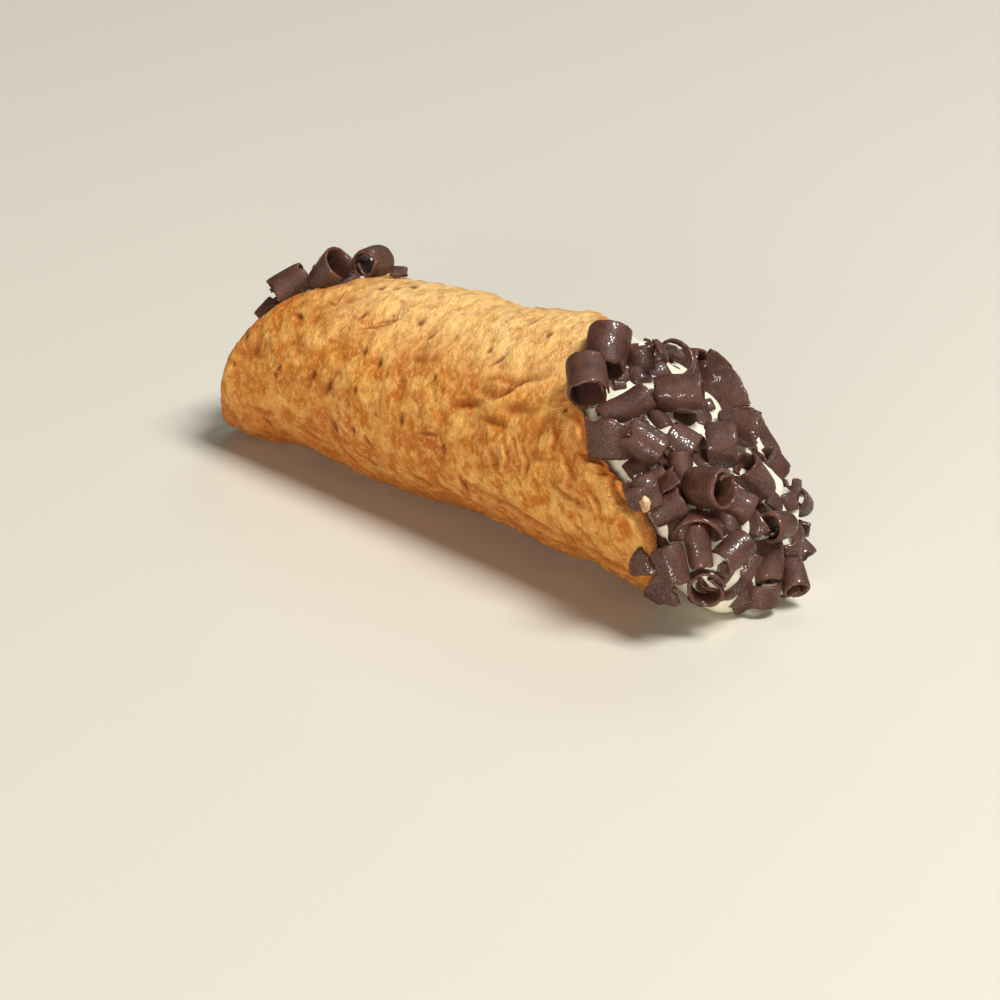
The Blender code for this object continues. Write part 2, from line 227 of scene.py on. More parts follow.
def move_points(mesh: bpy.types.Mesh, points: Array) -> None:
    """Moves the mesh's vertices to these points, one a row."""
    mesh.vertices.foreach_set("co", points.astype(np.float32).ravel())


def tree_of(pieces: Sequence[Piece]) -> BVHTree:
    """A search tree over the faces of some pieces, in world space.

    Args:
        pieces: The pieces.

    Returns:
        The tree.
    """
    vertices: list[Vector] = []
    faces: Faces = []
    for piece in pieces:
        first = len(vertices)
        vertices.extend(piece.matrix_world @ vertex.co for vertex in piece.data.vertices)
        for face in piece.data.polygons:
            faces.append(tuple(first + number for number in face.vertices))
    return BVHTree.FromPolygons(vertices, faces)


def distances(tree: BVHTree, points: Array, reach: float) -> Array:
    """How far each point is from the nearest face, but no more than reach."""
    found = (tree.find_nearest(Vector(point), reach)[3] for point in points.tolist())
    return np.array([reach if apart is None else apart for apart in found])


def dress(piece: Piece, material: Material, nodes: Sequence[str]) -> None:
    """Gives a piece its finish and ties it to the frame.

    Args:
        piece: The piece.
        material: Its finish.
        nodes: The frame's nodes that it stands for.
    """
    piece.data.materials.clear()
    piece.data.materials.append(material)
    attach(piece, BODY)
    if nodes:
        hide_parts(*nodes)
    stands_for = ", ".join(nodes) or "no node"
    LOG.info("%s: %d faces, for %s", piece.name, len(piece.data.polygons), stands_for)


# ------------------------------------------------------------------ shared effects


def new_group(name: str, inputs: dict[str, float], output: str) -> Nodes:
    """An empty shader group with number inputs and one number output.

    Args:
        name: The group's name.
        inputs: Input names with their defaults.
        output: The output's name.

    Returns:
        The group.
    """
    group = bpy.data.node_groups.new(name, "ShaderNodeTree")
    kind = "NodeSocketFloat"
    for label, value in inputs.items():
        socket = group.interface.new_socket(name=label, in_out="INPUT", socket_type=kind)
        socket.default_value = value
    group.interface.new_socket(name=output, in_out="OUTPUT", socket_type=kind)
    group.nodes.new("NodeGroupInput").name = "in"
    group.nodes.new("NodeGroupOutput").name = "out"
    return group


def put_out(group: Nodes, value: Socket) -> Nodes:
    """Links a value to the group's one output, and returns the group."""
    group.links.new(value, group.nodes["out"].inputs[0])
    return group


def link(tree: Nodes, value: Socket | float | Colour, socket: Socket) -> None:
    """Links a value to a socket, or sets it there where it is a plain number or colour.

    Args:
        tree: The nodes.
        value: A socket, a number or a colour.
        socket: Where it goes.
    """
    if isinstance(value, bpy.types.NodeSocket):
        tree.links.new(value, socket)
    else:
        socket.default_value = (*value, 1.0) if isinstance(value, tuple) else value


def maths(tree: Nodes, operation: str, *values: Socket | float) -> Socket:
    """A Math node.

    Args:
        tree: Where it goes.
        operation: What it does.
        values: Sockets or numbers, in order.

    Returns:
        Its result.
    """
    node = tree.nodes.new("ShaderNodeMath")
    node.operation = operation
    for socket, value in zip(node.inputs, values):
        link(tree, value, socket)
    return node.outputs[0]


def remap(tree: Nodes, value: Socket, low: float, high: float,
          to_low: float = 0.0, to_high: float = 1.0) -> Socket:
    """Maps a range of a value smoothly to another range.

    Args:
        tree: Where the node goes.
        value: What is mapped.
        low: Start of its range.
        high: End of its range.
        to_low: What the start becomes.
        to_high: What the end becomes.

    Returns:
        The mapped value.
    """
    node = tree.nodes.new("ShaderNodeMapRange")
    node.interpolation_type = "SMOOTHSTEP"
    labels = ("Value", "From Min", "From Max", "To Min", "To Max")
    for label, number in zip(labels, (value, low, high, to_low, to_high)):
        link(tree, number, node.inputs[label])
    return node.outputs["Result"]


def object_point(tree: Nodes) -> Socket:
    """Where the surface point lies in the object."""
    return tree.nodes.new("ShaderNodeTexCoord").outputs["Object"]


def noise_node(tree: Nodes, point: Socket, size: Socket, finer: float, rough: float) -> Socket:
    """A Noise Texture of two octaves.

    Args:
        tree: Where it goes.
        point: Where it is read.
        size: The size of its lumps.
        finer: How many times smaller than that they are.
        rough: How strong the second octave is.

    Returns:
        Its value, about 0.25 to 0.75.
    """
    node = tree.nodes.new("ShaderNodeTexNoise")
    scale = maths(tree, "DIVIDE", finer, size)
    labels = ("Vector", "Scale", "Detail", "Roughness")
    for label, value in zip(labels, (point, scale, 2.0, rough)):
        link(tree, value, node.inputs[label])
    return node.outputs["Fac"]


def build_mottle() -> Nodes:
    """Soft blotches of one size, with how sharp their edges are and how much they cover.

    Returns:
        A group from Size (metres), Cover and Softness to Mask.
    """
    all_bare, cover_span = 0.74, 0.48
    group = new_group("mottle", {"Size": 0.004, "Cover": 0.5, "Softness": 0.08}, "Mask")
    given = group.nodes["in"].outputs
    value = noise_node(group, object_point(group), given["Size"], 1.0, 0.50)
    level = maths(group, "SUBTRACT", all_bare, maths(group, "MULTIPLY", given["Cover"], cover_span))
    share = maths(group, "DIVIDE", maths(group, "SUBTRACT", value, level), given["Softness"])
    return put_out(group, remap(group, maths(group, "ADD", share, 0.5), 0.0, 1.0))


def build_specks() -> Nodes:
    """Small separate specks, each of its own size and a little out of round.

    Returns:
        A group from Size (metres between specks) and Share (of a cell that one fills) to Mask.
    """
    wander_scale, wander, edge = 900.0, 0.0012, 0.12
    group = new_group("specks", {"Size": 0.003, "Share": 0.3}, "Mask")
    given = group.nodes["in"].outputs
    point = object_point(group)
    unrounded = group.nodes.new("ShaderNodeTexNoise")
    unrounded.inputs["Scale"].default_value = wander_scale
    link(group, point, unrounded.inputs["Vector"])
    bent = group.nodes.new("ShaderNodeVectorMath")
    bent.operation = "MULTIPLY_ADD"
    bent.inputs[1].default_value = (wander, wander, wander)
    link(group, unrounded.outputs["Color"], bent.inputs[0])
    link(group, point, bent.inputs[2])
    cells = group.nodes.new("ShaderNodeTexVoronoi")
    link(group, bent.outputs[0], cells.inputs["Vector"])
    link(group, maths(group, "DIVIDE", 1.0, given["Size"]), cells.inputs["Scale"])
    dice = group.nodes.new("ShaderNodeSeparateColor")
    link(group, cells.outputs["Color"], dice.inputs[0])
    reach = maths(group, "MULTIPLY", given["Share"], dice.outputs[0])
    inside = maths(group, "SUBTRACT", reach, cells.outputs["Distance"])
    return put_out(group, remap(group, inside, 0.0, edge))


def build_grain() -> Nodes:
    """A fine uneven surface: a coarse and a fine grain added up.

    Returns:
        A group from Size (metres) and Fineness (share of the fine grain) to Height.
    """
    finer, rough = 3.7, 0.6
    group = new_group("grain", {"Size": 0.001, "Fineness": 0.4}, "Height")
    given = group.nodes["in"].outputs
    point = object_point(group)
    coarse = noise_node(group, point, given["Size"], 1.0, rough)
    fine = noise_node(group, point, given["Size"], finer, rough)
    return put_out(group, maths(group, "MULTIPLY_ADD", fine, given["Fineness"], coarse))


def build_beads() -> Nodes:
    """Small rounded bumps close together, as on a sweating surface.

    Returns:
        A group from Size (metres between bumps) to Height.
    """
    group = new_group("beads", {"Size": 0.0007}, "Height")
    size = group.nodes["in"].outputs["Size"]
    cells = group.nodes.new("ShaderNodeTexVoronoi")
    cells.feature = "SMOOTH_F1"
    cells.inputs["Smoothness"].default_value = 0.35
    link(group, object_point(group), cells.inputs["Vector"])
    link(group, maths(group, "DIVIDE", 1.0, size), cells.inputs["Scale"])
    apart = cells.outputs["Distance"]
    return put_out(group, maths(group, "SUBTRACT", 1.0, maths(group, "MULTIPLY", apart, apart)))


class Effects:
    """The shared effects, each built once."""

    def __init__(self) -> None:
        """Builds the groups."""
        self.mottle = build_mottle()
        self.specks = build_specks()
        self.grain = build_grain()
        self.beads = build_beads()


# ------------------------------------------------------------------ finishes


class Paint:
    """A material under construction: one Principled shader and the nodes that feed it."""

    def __init__(self, name: str, effects: Effects) -> None:
        """Starts a material.

        Args:
            name: The material's name.
            effects: The shared effects.
        """
        self.material = bpy.data.materials.new(name)
        self.material.use_nodes = True
        self.tree = self.material.node_tree
        self.shader = self.tree.nodes["Principled BSDF"]
        self.effects = effects

    def fixed(self, **values: float | Colour) -> None:
        """Sets the shader's own sockets, which are named with _ for a space."""
        for label, value in values.items():
            self.shader.inputs[label.replace("_", " ")].default_value = value

    def effect(self, group: Nodes, **values: float) -> Socket:
        """Places a shared effect.

        Args:
            group: The effect.
            values: Its input values by name.

        Returns:
            Its output.
        """
        node = self.tree.nodes.new("ShaderNodeGroup")
        node.node_tree = group
        for label, value in values.items():
            node.inputs[label].default_value = value
        return node.outputs[0]

    def mottle(self, size: float, cover: float, softness: float) -> Socket:
        """Places the blotches."""
        return self.effect(self.effects.mottle, Size=size, Cover=cover, Softness=softness)

    def specks(self, size: float, share: float) -> Socket:
        """Places the specks."""
        return self.effect(self.effects.specks, Size=size, Share=share)

    def grain(self, size: float, fineness: float) -> Socket:
        """Places the grain."""
        return self.effect(self.effects.grain, Size=size, Fineness=fineness)

    def marked(self, name: str) -> Socket:
        """The value that the mesh stores under this name.

        Args:
            name: The name.

        Returns:
            The value at each surface point.
        """
        node = self.tree.nodes.new("ShaderNodeAttribute")
        node.attribute_name = name
        return node.outputs["Fac"]

    def times(self, first: Socket, second: Socket | float) -> Socket:
        """The product of two values."""
        return maths(self.tree, "MULTIPLY", first, second)

    def layered(self, base: Colour, layers: Sequence[tuple[Socket, float, Colour]]) -> Socket:
        """Lays colours over each other.

        Args:
            base: The lowest colour.
            layers: From the lowest up, each layer's mask, its strength and its colour.

        Returns:
            The colour that shows.
        """
        shown: Socket | Colour = base
        for mask, strength, colour in layers:
            node = self.tree.nodes.new("ShaderNodeMix")
            node.data_type = "RGBA"
            share, below, above = node.inputs[0], node.inputs[6], node.inputs[7]
            link(self.tree, self.times(mask, strength), share)
            link(self.tree, shown, below)
            link(self.tree, colour, above)
            shown = node.outputs[2]
        return shown

    def feed(self, value: Socket, label: str) -> None:
        """Links a value to one of the shader's sockets."""
        self.tree.links.new(value, self.shader.inputs[label])

    def feed_roughness(self, mask: Socket, smooth: float, rough: float) -> None:
        """Makes the surface smooth where a mask is 0 and rough where it is 1."""
        self.feed(remap(self.tree, mask, 0.0, 1.0, smooth, rough), "Roughness")

    def bump(self, height: Socket, distance: float, strength: float,
             below: Socket | None = None) -> Socket:
        """A bumped normal.

        Args:
            height: The height map.
            distance: Metres that a height of 1 stands for.
            strength: How strong the bumps look.
            below: A normal to bump further.

        Returns:
            The normal.
        """
        node = self.tree.nodes.new("ShaderNodeBump")
        node.inputs["Distance"].default_value = distance
        node.inputs["Strength"].default_value = strength
        self.tree.links.new(height, node.inputs["Height"])
        if below is not None:
            self.tree.links.new(below, node.inputs["Normal"])
        return node.outputs["Normal"]


class Finish:
    """What every finish has: a name, and its own way to lay its colours and relief."""

    name = ""

    def lay(self, paint: Paint) -> None:
        """Lays the finish on a fresh material, in each finish's own way."""
        raise NotImplementedError

    def make(self, effects: Effects) -> Material:
        """Builds the material.

        Args:
            effects: The shared effects.

        Returns:
            The material.
        """
        paint = Paint(self.name, effects)
        self.lay(paint)
        return paint.material


@dataclass(frozen=True)
class FriedDough(Finish):
    """Golden fried dough, browner in patches and darkest in its pits.

    Its colour also paints light: shade in its pits, creases, dents, low places and underside,
    highlight on its blisters and crease lips, and sheen over its top, which is also paler dough.
    """

    name: str = "pastry"
    # the browner and darker colours also serve as painted shade, and the paler ones as painted
    # highlight and sheen, where the marks lay them
    gold: Colour = (0.580, 0.205, 0.020)
    pale: Colour = (0.830, 0.500, 0.145)
    pale_top_and_sheen: Colour = (0.870, 0.600, 0.260)
    toasted: Colour = (0.400, 0.100, 0.009)
    dark: Colour = (0.155, 0.032, 0.004)

    def lay(self, paint: Paint) -> None:
        """Lays the browned patches, the pale skin and the specks, the painted shade in the pits,
        creases, dents, low places and underside, and the painted highlights and sheen.

        Args:
            paint: The material under construction.
        """
        floury = paint.mottle(0.0037, 0.40, 0.20)
        height = paint.marked("height")
        layers = (
            (paint.mottle(0.015, 0.48, 0.30), 0.55, self.toasted),
            (paint.mottle(0.0050, 0.48, 0.22), 0.50, self.toasted),
            # the paler top: partly the dough's own lighter colour, partly painted sheen
            (paint.marked("bloom"), 0.82, self.pale_top_and_sheen),
            (paint.mottle(0.0021, 0.42, 0.16), 0.38, self.toasted),
            # painted shade: browner in the skin's low places
            (remap(paint.tree, height, 0.50, 0.12), 0.30, self.toasted),
            (floury, 0.48, self.pale),
            (paint.mottle(0.0011, 0.36, 0.14), 0.38, self.pale),
            # painted highlight: paler on the skin's bumps
            (remap(paint.tree, height, 0.40, 0.95), 0.25, self.pale),
            # pale lifted flakes, and painted highlight on crease lips and raised blisters
            (paint.marked("ridge"), 0.42, self.pale),
            # painted shade: darker towards the bottom, on the front and the back
            (paint.marked("crust"), 0.55, self.toasted),
            # browned patches and rim, and painted shade in the dimples, creases and dents
            (paint.marked("toast"), 0.80, self.toasted),
            (paint.specks(0.0040, 0.18), 0.85, self.toasted),
            (paint.specks(0.0017, 0.20), 0.55, self.toasted),
            # darkest: painted shade in the pits, creases and dents, and the burnt rim
            (paint.marked("pit"), 0.88, self.dark),
        )
        paint.feed(paint.layered(self.gold, layers), "Base Color")
        paint.feed_roughness(floury, 0.42, 0.60)
        paint.feed(paint.bump(paint.grain(0.0012, 0.70), 0.0008, 0.70), "Normal")
        paint.fixed(Specular_IOR_Level=0.20, Subsurface_Weight=0.06, Subsurface_Scale=0.0015)


@dataclass(frozen=True)
class SweetCream(Finish):
    """Thick off-white cream, smooth and softly lit from within."""

    name: str = "cream"
    body: Colour = (0.800, 0.755, 0.610)
    shade: Colour = (0.700, 0.650, 0.480)
    glow: Triple = (1.0, 0.7, 0.4)

    def lay(self, paint: Paint) -> None:
        """Lays faint streaks and a soft swell.

        Args:
            paint: The material under construction.
        """
        streaks = paint.mottle(0.006, 0.45, 0.30)
        paint.feed(paint.layered(self.body, ((streaks, 0.5, self.shade),)), "Base Color")
        paint.feed_roughness(streaks, 0.34, 0.46)
        paint.feed(paint.bump(paint.grain(0.0024, 0.12), 0.0003, 0.35), "Normal")
        paint.fixed(Subsurface_Weight=0.35, Subsurface_Scale=0.003, Subsurface_Radius=self.glow)


@dataclass(frozen=True)
class DarkChocolate(Finish):
    """Dark chocolate: satin, with pores and fine glittering beads, its thin edges painted redder
    and lighter as a glow of light through them.
    """

    name: str = "chocolate"
    body: Colour = (0.053, 0.0185, 0.0115)
    bloom: Colour = (0.098, 0.037, 0.023)
    # redder and lighter: a painted glow of light through the thin edges, and the colour of small
    # crumbs
    edge: Colour = (0.135, 0.043, 0.023)
    pore: Colour = (0.022, 0.0085, 0.0060)

    def lay(self, paint: Paint) -> None:
        """Lays the bloom, the painted glow of the thin edges, the crumbs and pores, and the beads
        that glitter.

        Args:
            paint: The material under construction.
        """
        dusty = paint.mottle(0.0035, 0.50, 0.30)
        # painted glow: thin edges lighter and redder, as if lit through
        thin_edge_glow = paint.times(paint.marked("edge"), paint.mottle(0.0012, 0.55, 0.20))
        layers = (
            (dusty, 0.70, self.bloom),
            (thin_edge_glow, 0.45, self.edge),
            (paint.specks(0.0024, 0.16), 0.60, self.edge),
            (paint.specks(0.0010, 0.30), 0.55, self.pore),
        )
        paint.feed(paint.layered(self.body, layers), "Base Color")
        beads = remap(paint.tree, paint.effect(paint.effects.beads, Size=0.00042), 0.76, 0.93)
        sweating = paint.times(beads, paint.mottle(0.0030, 0.72, 0.20))
        paint.feed(sweating, "Coat Weight")
        paint.feed_roughness(dusty, 0.44, 0.56)
        rough = paint.bump(paint.grain(0.0008, 0.8), 0.00016, 0.70)
        paint.feed(paint.bump(sweating, 0.00007, 0.80, rough), "Normal")
        paint.fixed(Specular_IOR_Level=0.34, Coat_Roughness=0.13, Coat_IOR=1.6)


@dataclass(frozen=True)
class ChoppedNut(Finish):
    """A roasted nut crumb, tan with a paler broken face."""

    name: str = "nut"
    body: Colour = (0.420, 0.230, 0.100)
    broken: Colour = (0.600, 0.440, 0.260)

    def lay(self, paint: Paint) -> None:
        """Lays the broken faces and the specks of skin.

        Args:
            paint: The material under construction.
        """
        faces = paint.mottle(0.0016, 0.5, 0.15)
        layers = ((faces, 1.0, self.broken), (paint.specks(0.0012, 0.3), 1.0, self.body))
        paint.feed(paint.layered(self.body, layers), "Base Color")
        paint.feed(paint.bump(paint.grain(0.0006, 0.5), 0.0002, 0.7), "Normal")
        paint.fixed(Roughness=0.5, Specular_IOR_Level=0.4)


@dataclass(frozen=True)
class PaleFloor(Finish):
    """A plain pale surface with the faintest unevenness."""

    name: str = "floor"
    body: Colour = (0.620, 0.585, 0.500)

    def lay(self, paint: Paint) -> None:
        """Lays the plain colour and a faint grain."""
        paint.fixed(Base_Color=(*self.body, 1.0), Roughness=0.45)
        paint.feed(paint.bump(paint.grain(0.02, 0.1), 0.0002, 0.1), "Normal")


def build_finishes() -> dict[str, Material]:
    """Builds the shared effects and every material of the scene.

    Returns:
        The materials by name.
    """
    effects = Effects()
    looks = (FriedDough(), SweetCream(), DarkChocolate(), ChoppedNut(), PaleFloor())
    return {look.name: look.make(effects) for look in looks}


# ------------------------------------------------------------------ the rolled dough


class Hump(NamedTuple):
    """A hump of the disc's edge, or with a negative height a bay, placed and sized in degrees."""

    height: float
    centre: float
    width: float


class Shelf(NamedTuple):
    """A stretch of the disc's edge that stands out, or back, between a rise and a fall, degrees."""

    height: float
    rise: Span
    fall: Span


class Swell(NamedTuple):
    """A swelling of the tube, or with a negative height a hollow; clock is from the bottom."""

    height: float
    along: float
    length: float
    clock: float
    spread: float


class Pit(NamedTuple):
    """A small burst bubble: its place (millimetres along, clock degrees), two sizes and heading."""

    along: float
    clock: float
    length: float = 0.9
    width: float = 0.55
    heading: float = 90.0


class Dent(NamedTuple):
    """A wider hollow, or with a negative depth a blister: as a pit, with its depth in millimetres.

    Its last three numbers are how much it is browned, with painted shade in a hollow, how much
    painted highlight a raised blister has, and how much painted shade lies in a hollow.
    """

    along: float
    clock: float
    length: float
    width: float
    heading: float
    depth: float
    toast: float = 0.0
    pale: float = 0.0
    dark: float = 0.0


class Crease(NamedTuple):
    """A crease along a path of (millimetres along, clock degrees), with sizes in millimetres; dark
    is how much painted shade lies in it, and its lip is raised and painted lighter as a highlight.
    """

    path: tuple[Pair, ...]
    depth: float
    width: float
    lip: float = 0.5
    dark: float = 0.4


class Patch(NamedTuple):
    """A browned patch: its place (millimetres along, clock degrees), its size and strength."""

    along: float
    clock: float
    size: float
    strength: float


class Ring(NamedTuple):
    """A ring of the dough's net: how far out its points lie on the disc, in metres and as a share.

    layer is where it lies in the dough's thickness, from 1 outside to -1 inside.
    """

    reach: Array
    share: float
    layer: float


class Skin:
    """The relief of the dough's points, in metres, and the marks that the finish reads."""

    def __init__(self, count: int) -> None:
        """Starts with a smooth and even skin of this many points.

        Args:
            count: How many.
        """
        self.relief = np.zeros(count)
        # the marks lay browning, and also painted shade and highlight
        names = ("pit", "ridge", "toast", "height", "bloom", "crust")
        self.marks = {name: np.zeros(count) for name in names}

    def at_least(self, **marks: Array) -> None:
        """Raises each named mark to these values where it is lower."""
        for name, values in marks.items():
            self.marks[name] = np.maximum(self.marks[name], values)


@dataclass
class RolledDough:
    """The tube: a round disc of dough wrapped both ways from the bottom, front over back."""

    half_length: float = 0.0670
    half_width: float = 0.0656
    thickness: float = 0.0022
    radius: float = 0.0206
    taper: float = 0.0516
    pressed_flat: float = 0.0008
    seam_gap: float = 0.0004
    front_climb: float = 0.0006
    front_ramp: Span = (145.0, 162.0)
    back_ramp: Span = (155.0, 171.0)

    # the disc's edge: the front flap's corner, the lip of the mouth, a nick behind, the far end
    humps: tuple[Hump, ...] = rows(
        Hump,
        (0.012, 69, 9), (0.0085, 29, 8), (-0.0055, -67, 7), (-0.0018, 162, 12),
    )
    # the spread of the front flap, and the cuts of the back flap and of the foot
    shelves: tuple[Shelf, ...] = rows(
        Shelf,
        (0.0055, (73.0, 86.0), (108.0, 128.0)),
        (-0.0190, (-73.0, -57.0), (-42.0, -15.0)),
        (-0.0120, (-42.0, -15.0), (9.0, 21.0)),
    )
    # slow waves of the edge: height, how many go round, and where they start
    ripples: tuple[Triple, ...] = ((0.0004, 11.0, 0.0), (0.0003, 19.0, 1.0))

    # the skin
    lumps: Waves = rows(Wave, (0.00022, 0.0085, 3.0))
    blisters: Waves = rows(Wave, (0.0008, 0.026, 0.0))
    bubbles: Waves = rows(
        Wave, (0.00034, 0.0036, 7.0), (0.000187, 0.0016, 9.0), (0.00007, 0.0009, 15.0),
    )
    foot_bumps: Waves = rows(Wave, (0.00045, 0.0050, 31.0), (0.000225, 0.0022, 33.0))
    flakes: Waves = rows(Wave, (1.0, (0.0030, 0.0024, 1.0), 11.0), (0.45, 0.0011, 13.0))
    # patchiness of the pale top, which is partly painted sheen
    bloom_patches: Waves = rows(Wave, (0.5, 0.011, 23.0))
    stain_edges: Waves = rows(Wave, (0.8, 0.0024, 13.0))
    burnt_edges: Waves = rows(Wave, (0.5, 0.0030, 41.0))
    flake_height: float = 0.00020
    flake_edge: Span = (0.08, 0.26)
    flake_top: Span = (0.26, 0.60)
    height_range: float = 0.00050

    # where the skin flakes: a stretch of the front near the mouth, the foot, and the back
    flaky_mouth: Span = (0.004, 0.026)
    flaky_above: Span = (125.0, 95.0)
    flaky_below: Span = (-5.0, 25.0)
    flaky_foot: Pair = (30.0, 26.0)
    flaky_foot_from: Span = (-0.052, -0.034)
    flaky_back: Span = (0.0, -40.0)

    # where it is bumpy, pale or crusty by the clock, and from where along it is pale
    low_front: Pair = (36.0, 20.0)
    low_back: Pair = (172.0, 14.0)
    pale_from: Span = (116.0, 158.0)
    pale_to: Span = (300.0, 230.0)
    # where it is bumpy, where its top is pale, partly as painted sheen, and where its underside is
    # darkened as painted shade, by the clock, and from where along it is pale
    pale_near: Span = (-0.050, -0.014)
    crust_front: Span = (82.0, 40.0)
    crust_back: Span = (290.0, 325.0)

    # burst bubbles, and tiny hollows all over, both darkened as painted shade
    pit_depth: float = 0.00042
    dimple_depth: float = 0.00016
    dimple_count: int = 520
    dimple_reach: float = 0.0016
    stray_count: int = 70

    # creases: one steep side and one gentle side, a lip beyond the steep side; the deep part is
    # painted as shade and the lip as a highlight
    crease_ends: Span = (0.04, 0.96)
    crease_dip: float = 1.6
    crease_rise: float = 0.8
    steep_side: float = 0.40
    gentle_side: float = 2.2
    lip_place: Pair = (-0.85, 0.55)
    deep_place: Pair = (0.45, 0.90)

    # the net and the rim
    columns: int = 1060
    hidden_rings: int = 8
    outer_rings: int = 178
    inner_rings: int = 26
    inmost: float = 0.03
    seen_from: float = 0.27
    rim_rings: tuple[float, ...] = (0.2, 0.4, 0.6, 0.8)
    rim_bulge: float = 0.0007
    rim_layer: float = 0.0012
    mouth_front: Span = (62.0, 40.0)
    rim_from: Span = (0.965, 1.0)
    edge_from: Span = (0.9, 1.0)
    torn_rise: Span = (9.0, 16.0)
    torn_fall: Span = (45.0, 38.0)
    torn: Waves = rows(Wave, (0.0014, 0.0022, 17.0), (0.0007, 0.0009, 19.0))
    ragged: Waves = rows(Wave, (0.00030, 0.0016, 21.0))

    swells: tuple[Swell, ...] = rows(
        Swell,
        (-0.0018, 0.0035, 0.007, 198, 26), (0.0018, -0.058, 0.012, 45, 35),
        (-0.0015, 0.0107, 0.014, 31, 30), (-0.0013, 0.0437, 0.007, 31, 30),
        (-0.001, -0.044, 0.006, 31, 30), (0.001, 0.027, 0.008, 195, 25),
    )
    pits: tuple[Pit, ...] = rows(
        Pit,
        (-41, 136, 1.2, 0.6, 0), (-24, 146, 1.3, 0.45, 60), (-42.2, 98, 0.7, 0.6),
        (-41.2, 103, 1, 0.5, 50), (-30.6, 105, 1, 0.7, 60), (-25.6, 101, 1.7, 0.8, 65),
        (-18, 126, 0.9, 0.8), (-13, 122, 1, 0.7, 80), (-17.4, 104, 0.8, 0.6),
        (-18.1, 80, 0.8, 0.7), (-47, 62, 1.5, 0.7, 110), (-24.3, 77, 1.8, 0.9, 95),
        (-14, 76, 1.3, 0.6, 120), (-54, 115, 0.7, 0.6), (-55.6, 96, 0.6, 0.5),
        (-9, 151, 1.1, 0.8, 0), (-4.3, 145, 1.3, 0.45, 60), (3, 123, 0.7, 0.6),
        (12.6, 145, 0.8, 0.6), (16.4, 141, 2.1, 0.45, 60), (23.7, 161, 0.9, 0.7),
        (-3.2, 96, 1.2, 0.7), (21.2, 103, 0.7, 0.4), (-20.9, 178, 1.2, 0.7, 0),
        (38.7, 125, 0.6, 0.6), (8.7, 88, 0.8, 0.4), (13.4, 69, 1.8, 0.9, 120),
    )
    dents: tuple[Dent, ...] = rows(
        Dent,
        (13.7, 115, 4.2, 0.9, 20, 0.85, 1, 0, 0.35), (26.6, 119, 4.3, 1.2, 15, 0.9, 1, 0, 0.35),
        (21, 110, 4, 0.8, 5, 0.8, 1, 0, 0.3), (34.2, 115, 3.4, 1.5, 65, 0.6, 0.7),
        (34.4, 101, 1.4, 2, 105, 0.6, 0.9, 0, 0.15), (20.9, 106, 2.3, 0.7, 175, -0.15, 0, 0.9),
        (24.3, 92, 1.2, 0.7, 130, 0.35, 1, 0, 0.35), (13.7, 70, 1, 0.6, 140, 0.4, 1, 0, 0.5),
        (-2.5, 130, 2.8, 1, 10, 0.25, 1, 0, 0.35), (14.8, 125, 3.7, 1.4, 0, 0.25, 0.55),
        # next two rows, by the near rim: painted shade of the curls above it and under the torn
        # flap
        (49.6, 107, 2.8, 0.6, 15, 0.6, 1, 0, 0.6), (52, 104.5, 1.3, 1.3, 0, 0.25, 1, 0, 0.2),
        (55.4, 101.5, 0.7, 1.9, 0, 1.1, 1, 0, 0.9), (58.6, 100.5, 1.6, 1.7, 0, -0.3, 0.6),
        (44.5, 113, 2.3, 1.4, 175, 0.35, 0.7), (-34.3, 150, 2.4, 0.5, 180, -0.2, 0, 0.9),
        (-30.5, 153, 1.4, 0.7, 10, 0.35, 0.8), (-41.6, 136, 2, 0.6, 5, 0.2, 0.8),
        (-49.8, 108, 2.2, 1.1, 160, 0.2, 1, 0, 0.3), (-34, 122, 3.1, 1.4, 10, -0.5, 0, 0.8),
        (-15.8, 60, 2.6, 0.8, 180, 0.5, 1, 0, 0.6), (-14.1, 76, 1, 0.6, 120, 0.35, 1, 0, 0.5),
        (-53.2, 62, 1.5, 0.7, 175, 0.2, 0.8), (-50.9, 49, 3, 1, 180, 0.15, 0.8),
        (47.5, 64, 2.6, 1, 150, -0.25, 0, 0.8), (41.5, 71, 2.2, 1.2, 60, -0.2, 0, 0.6),
        (29, 80, 3, 1.4, 120, -0.25, 0, 0.4), (-6, 100, 3.5, 2, 20, -0.35, 0, 0.4),
        (5, 105, 3, 1.8, 150, -0.3, 0, 0.4), (-20, 112, 3.2, 2.2, 60, -0.3, 0, 0.4),
        (-45, 118, 3, 1.8, 10, -0.3, 0, 0.5),
    )
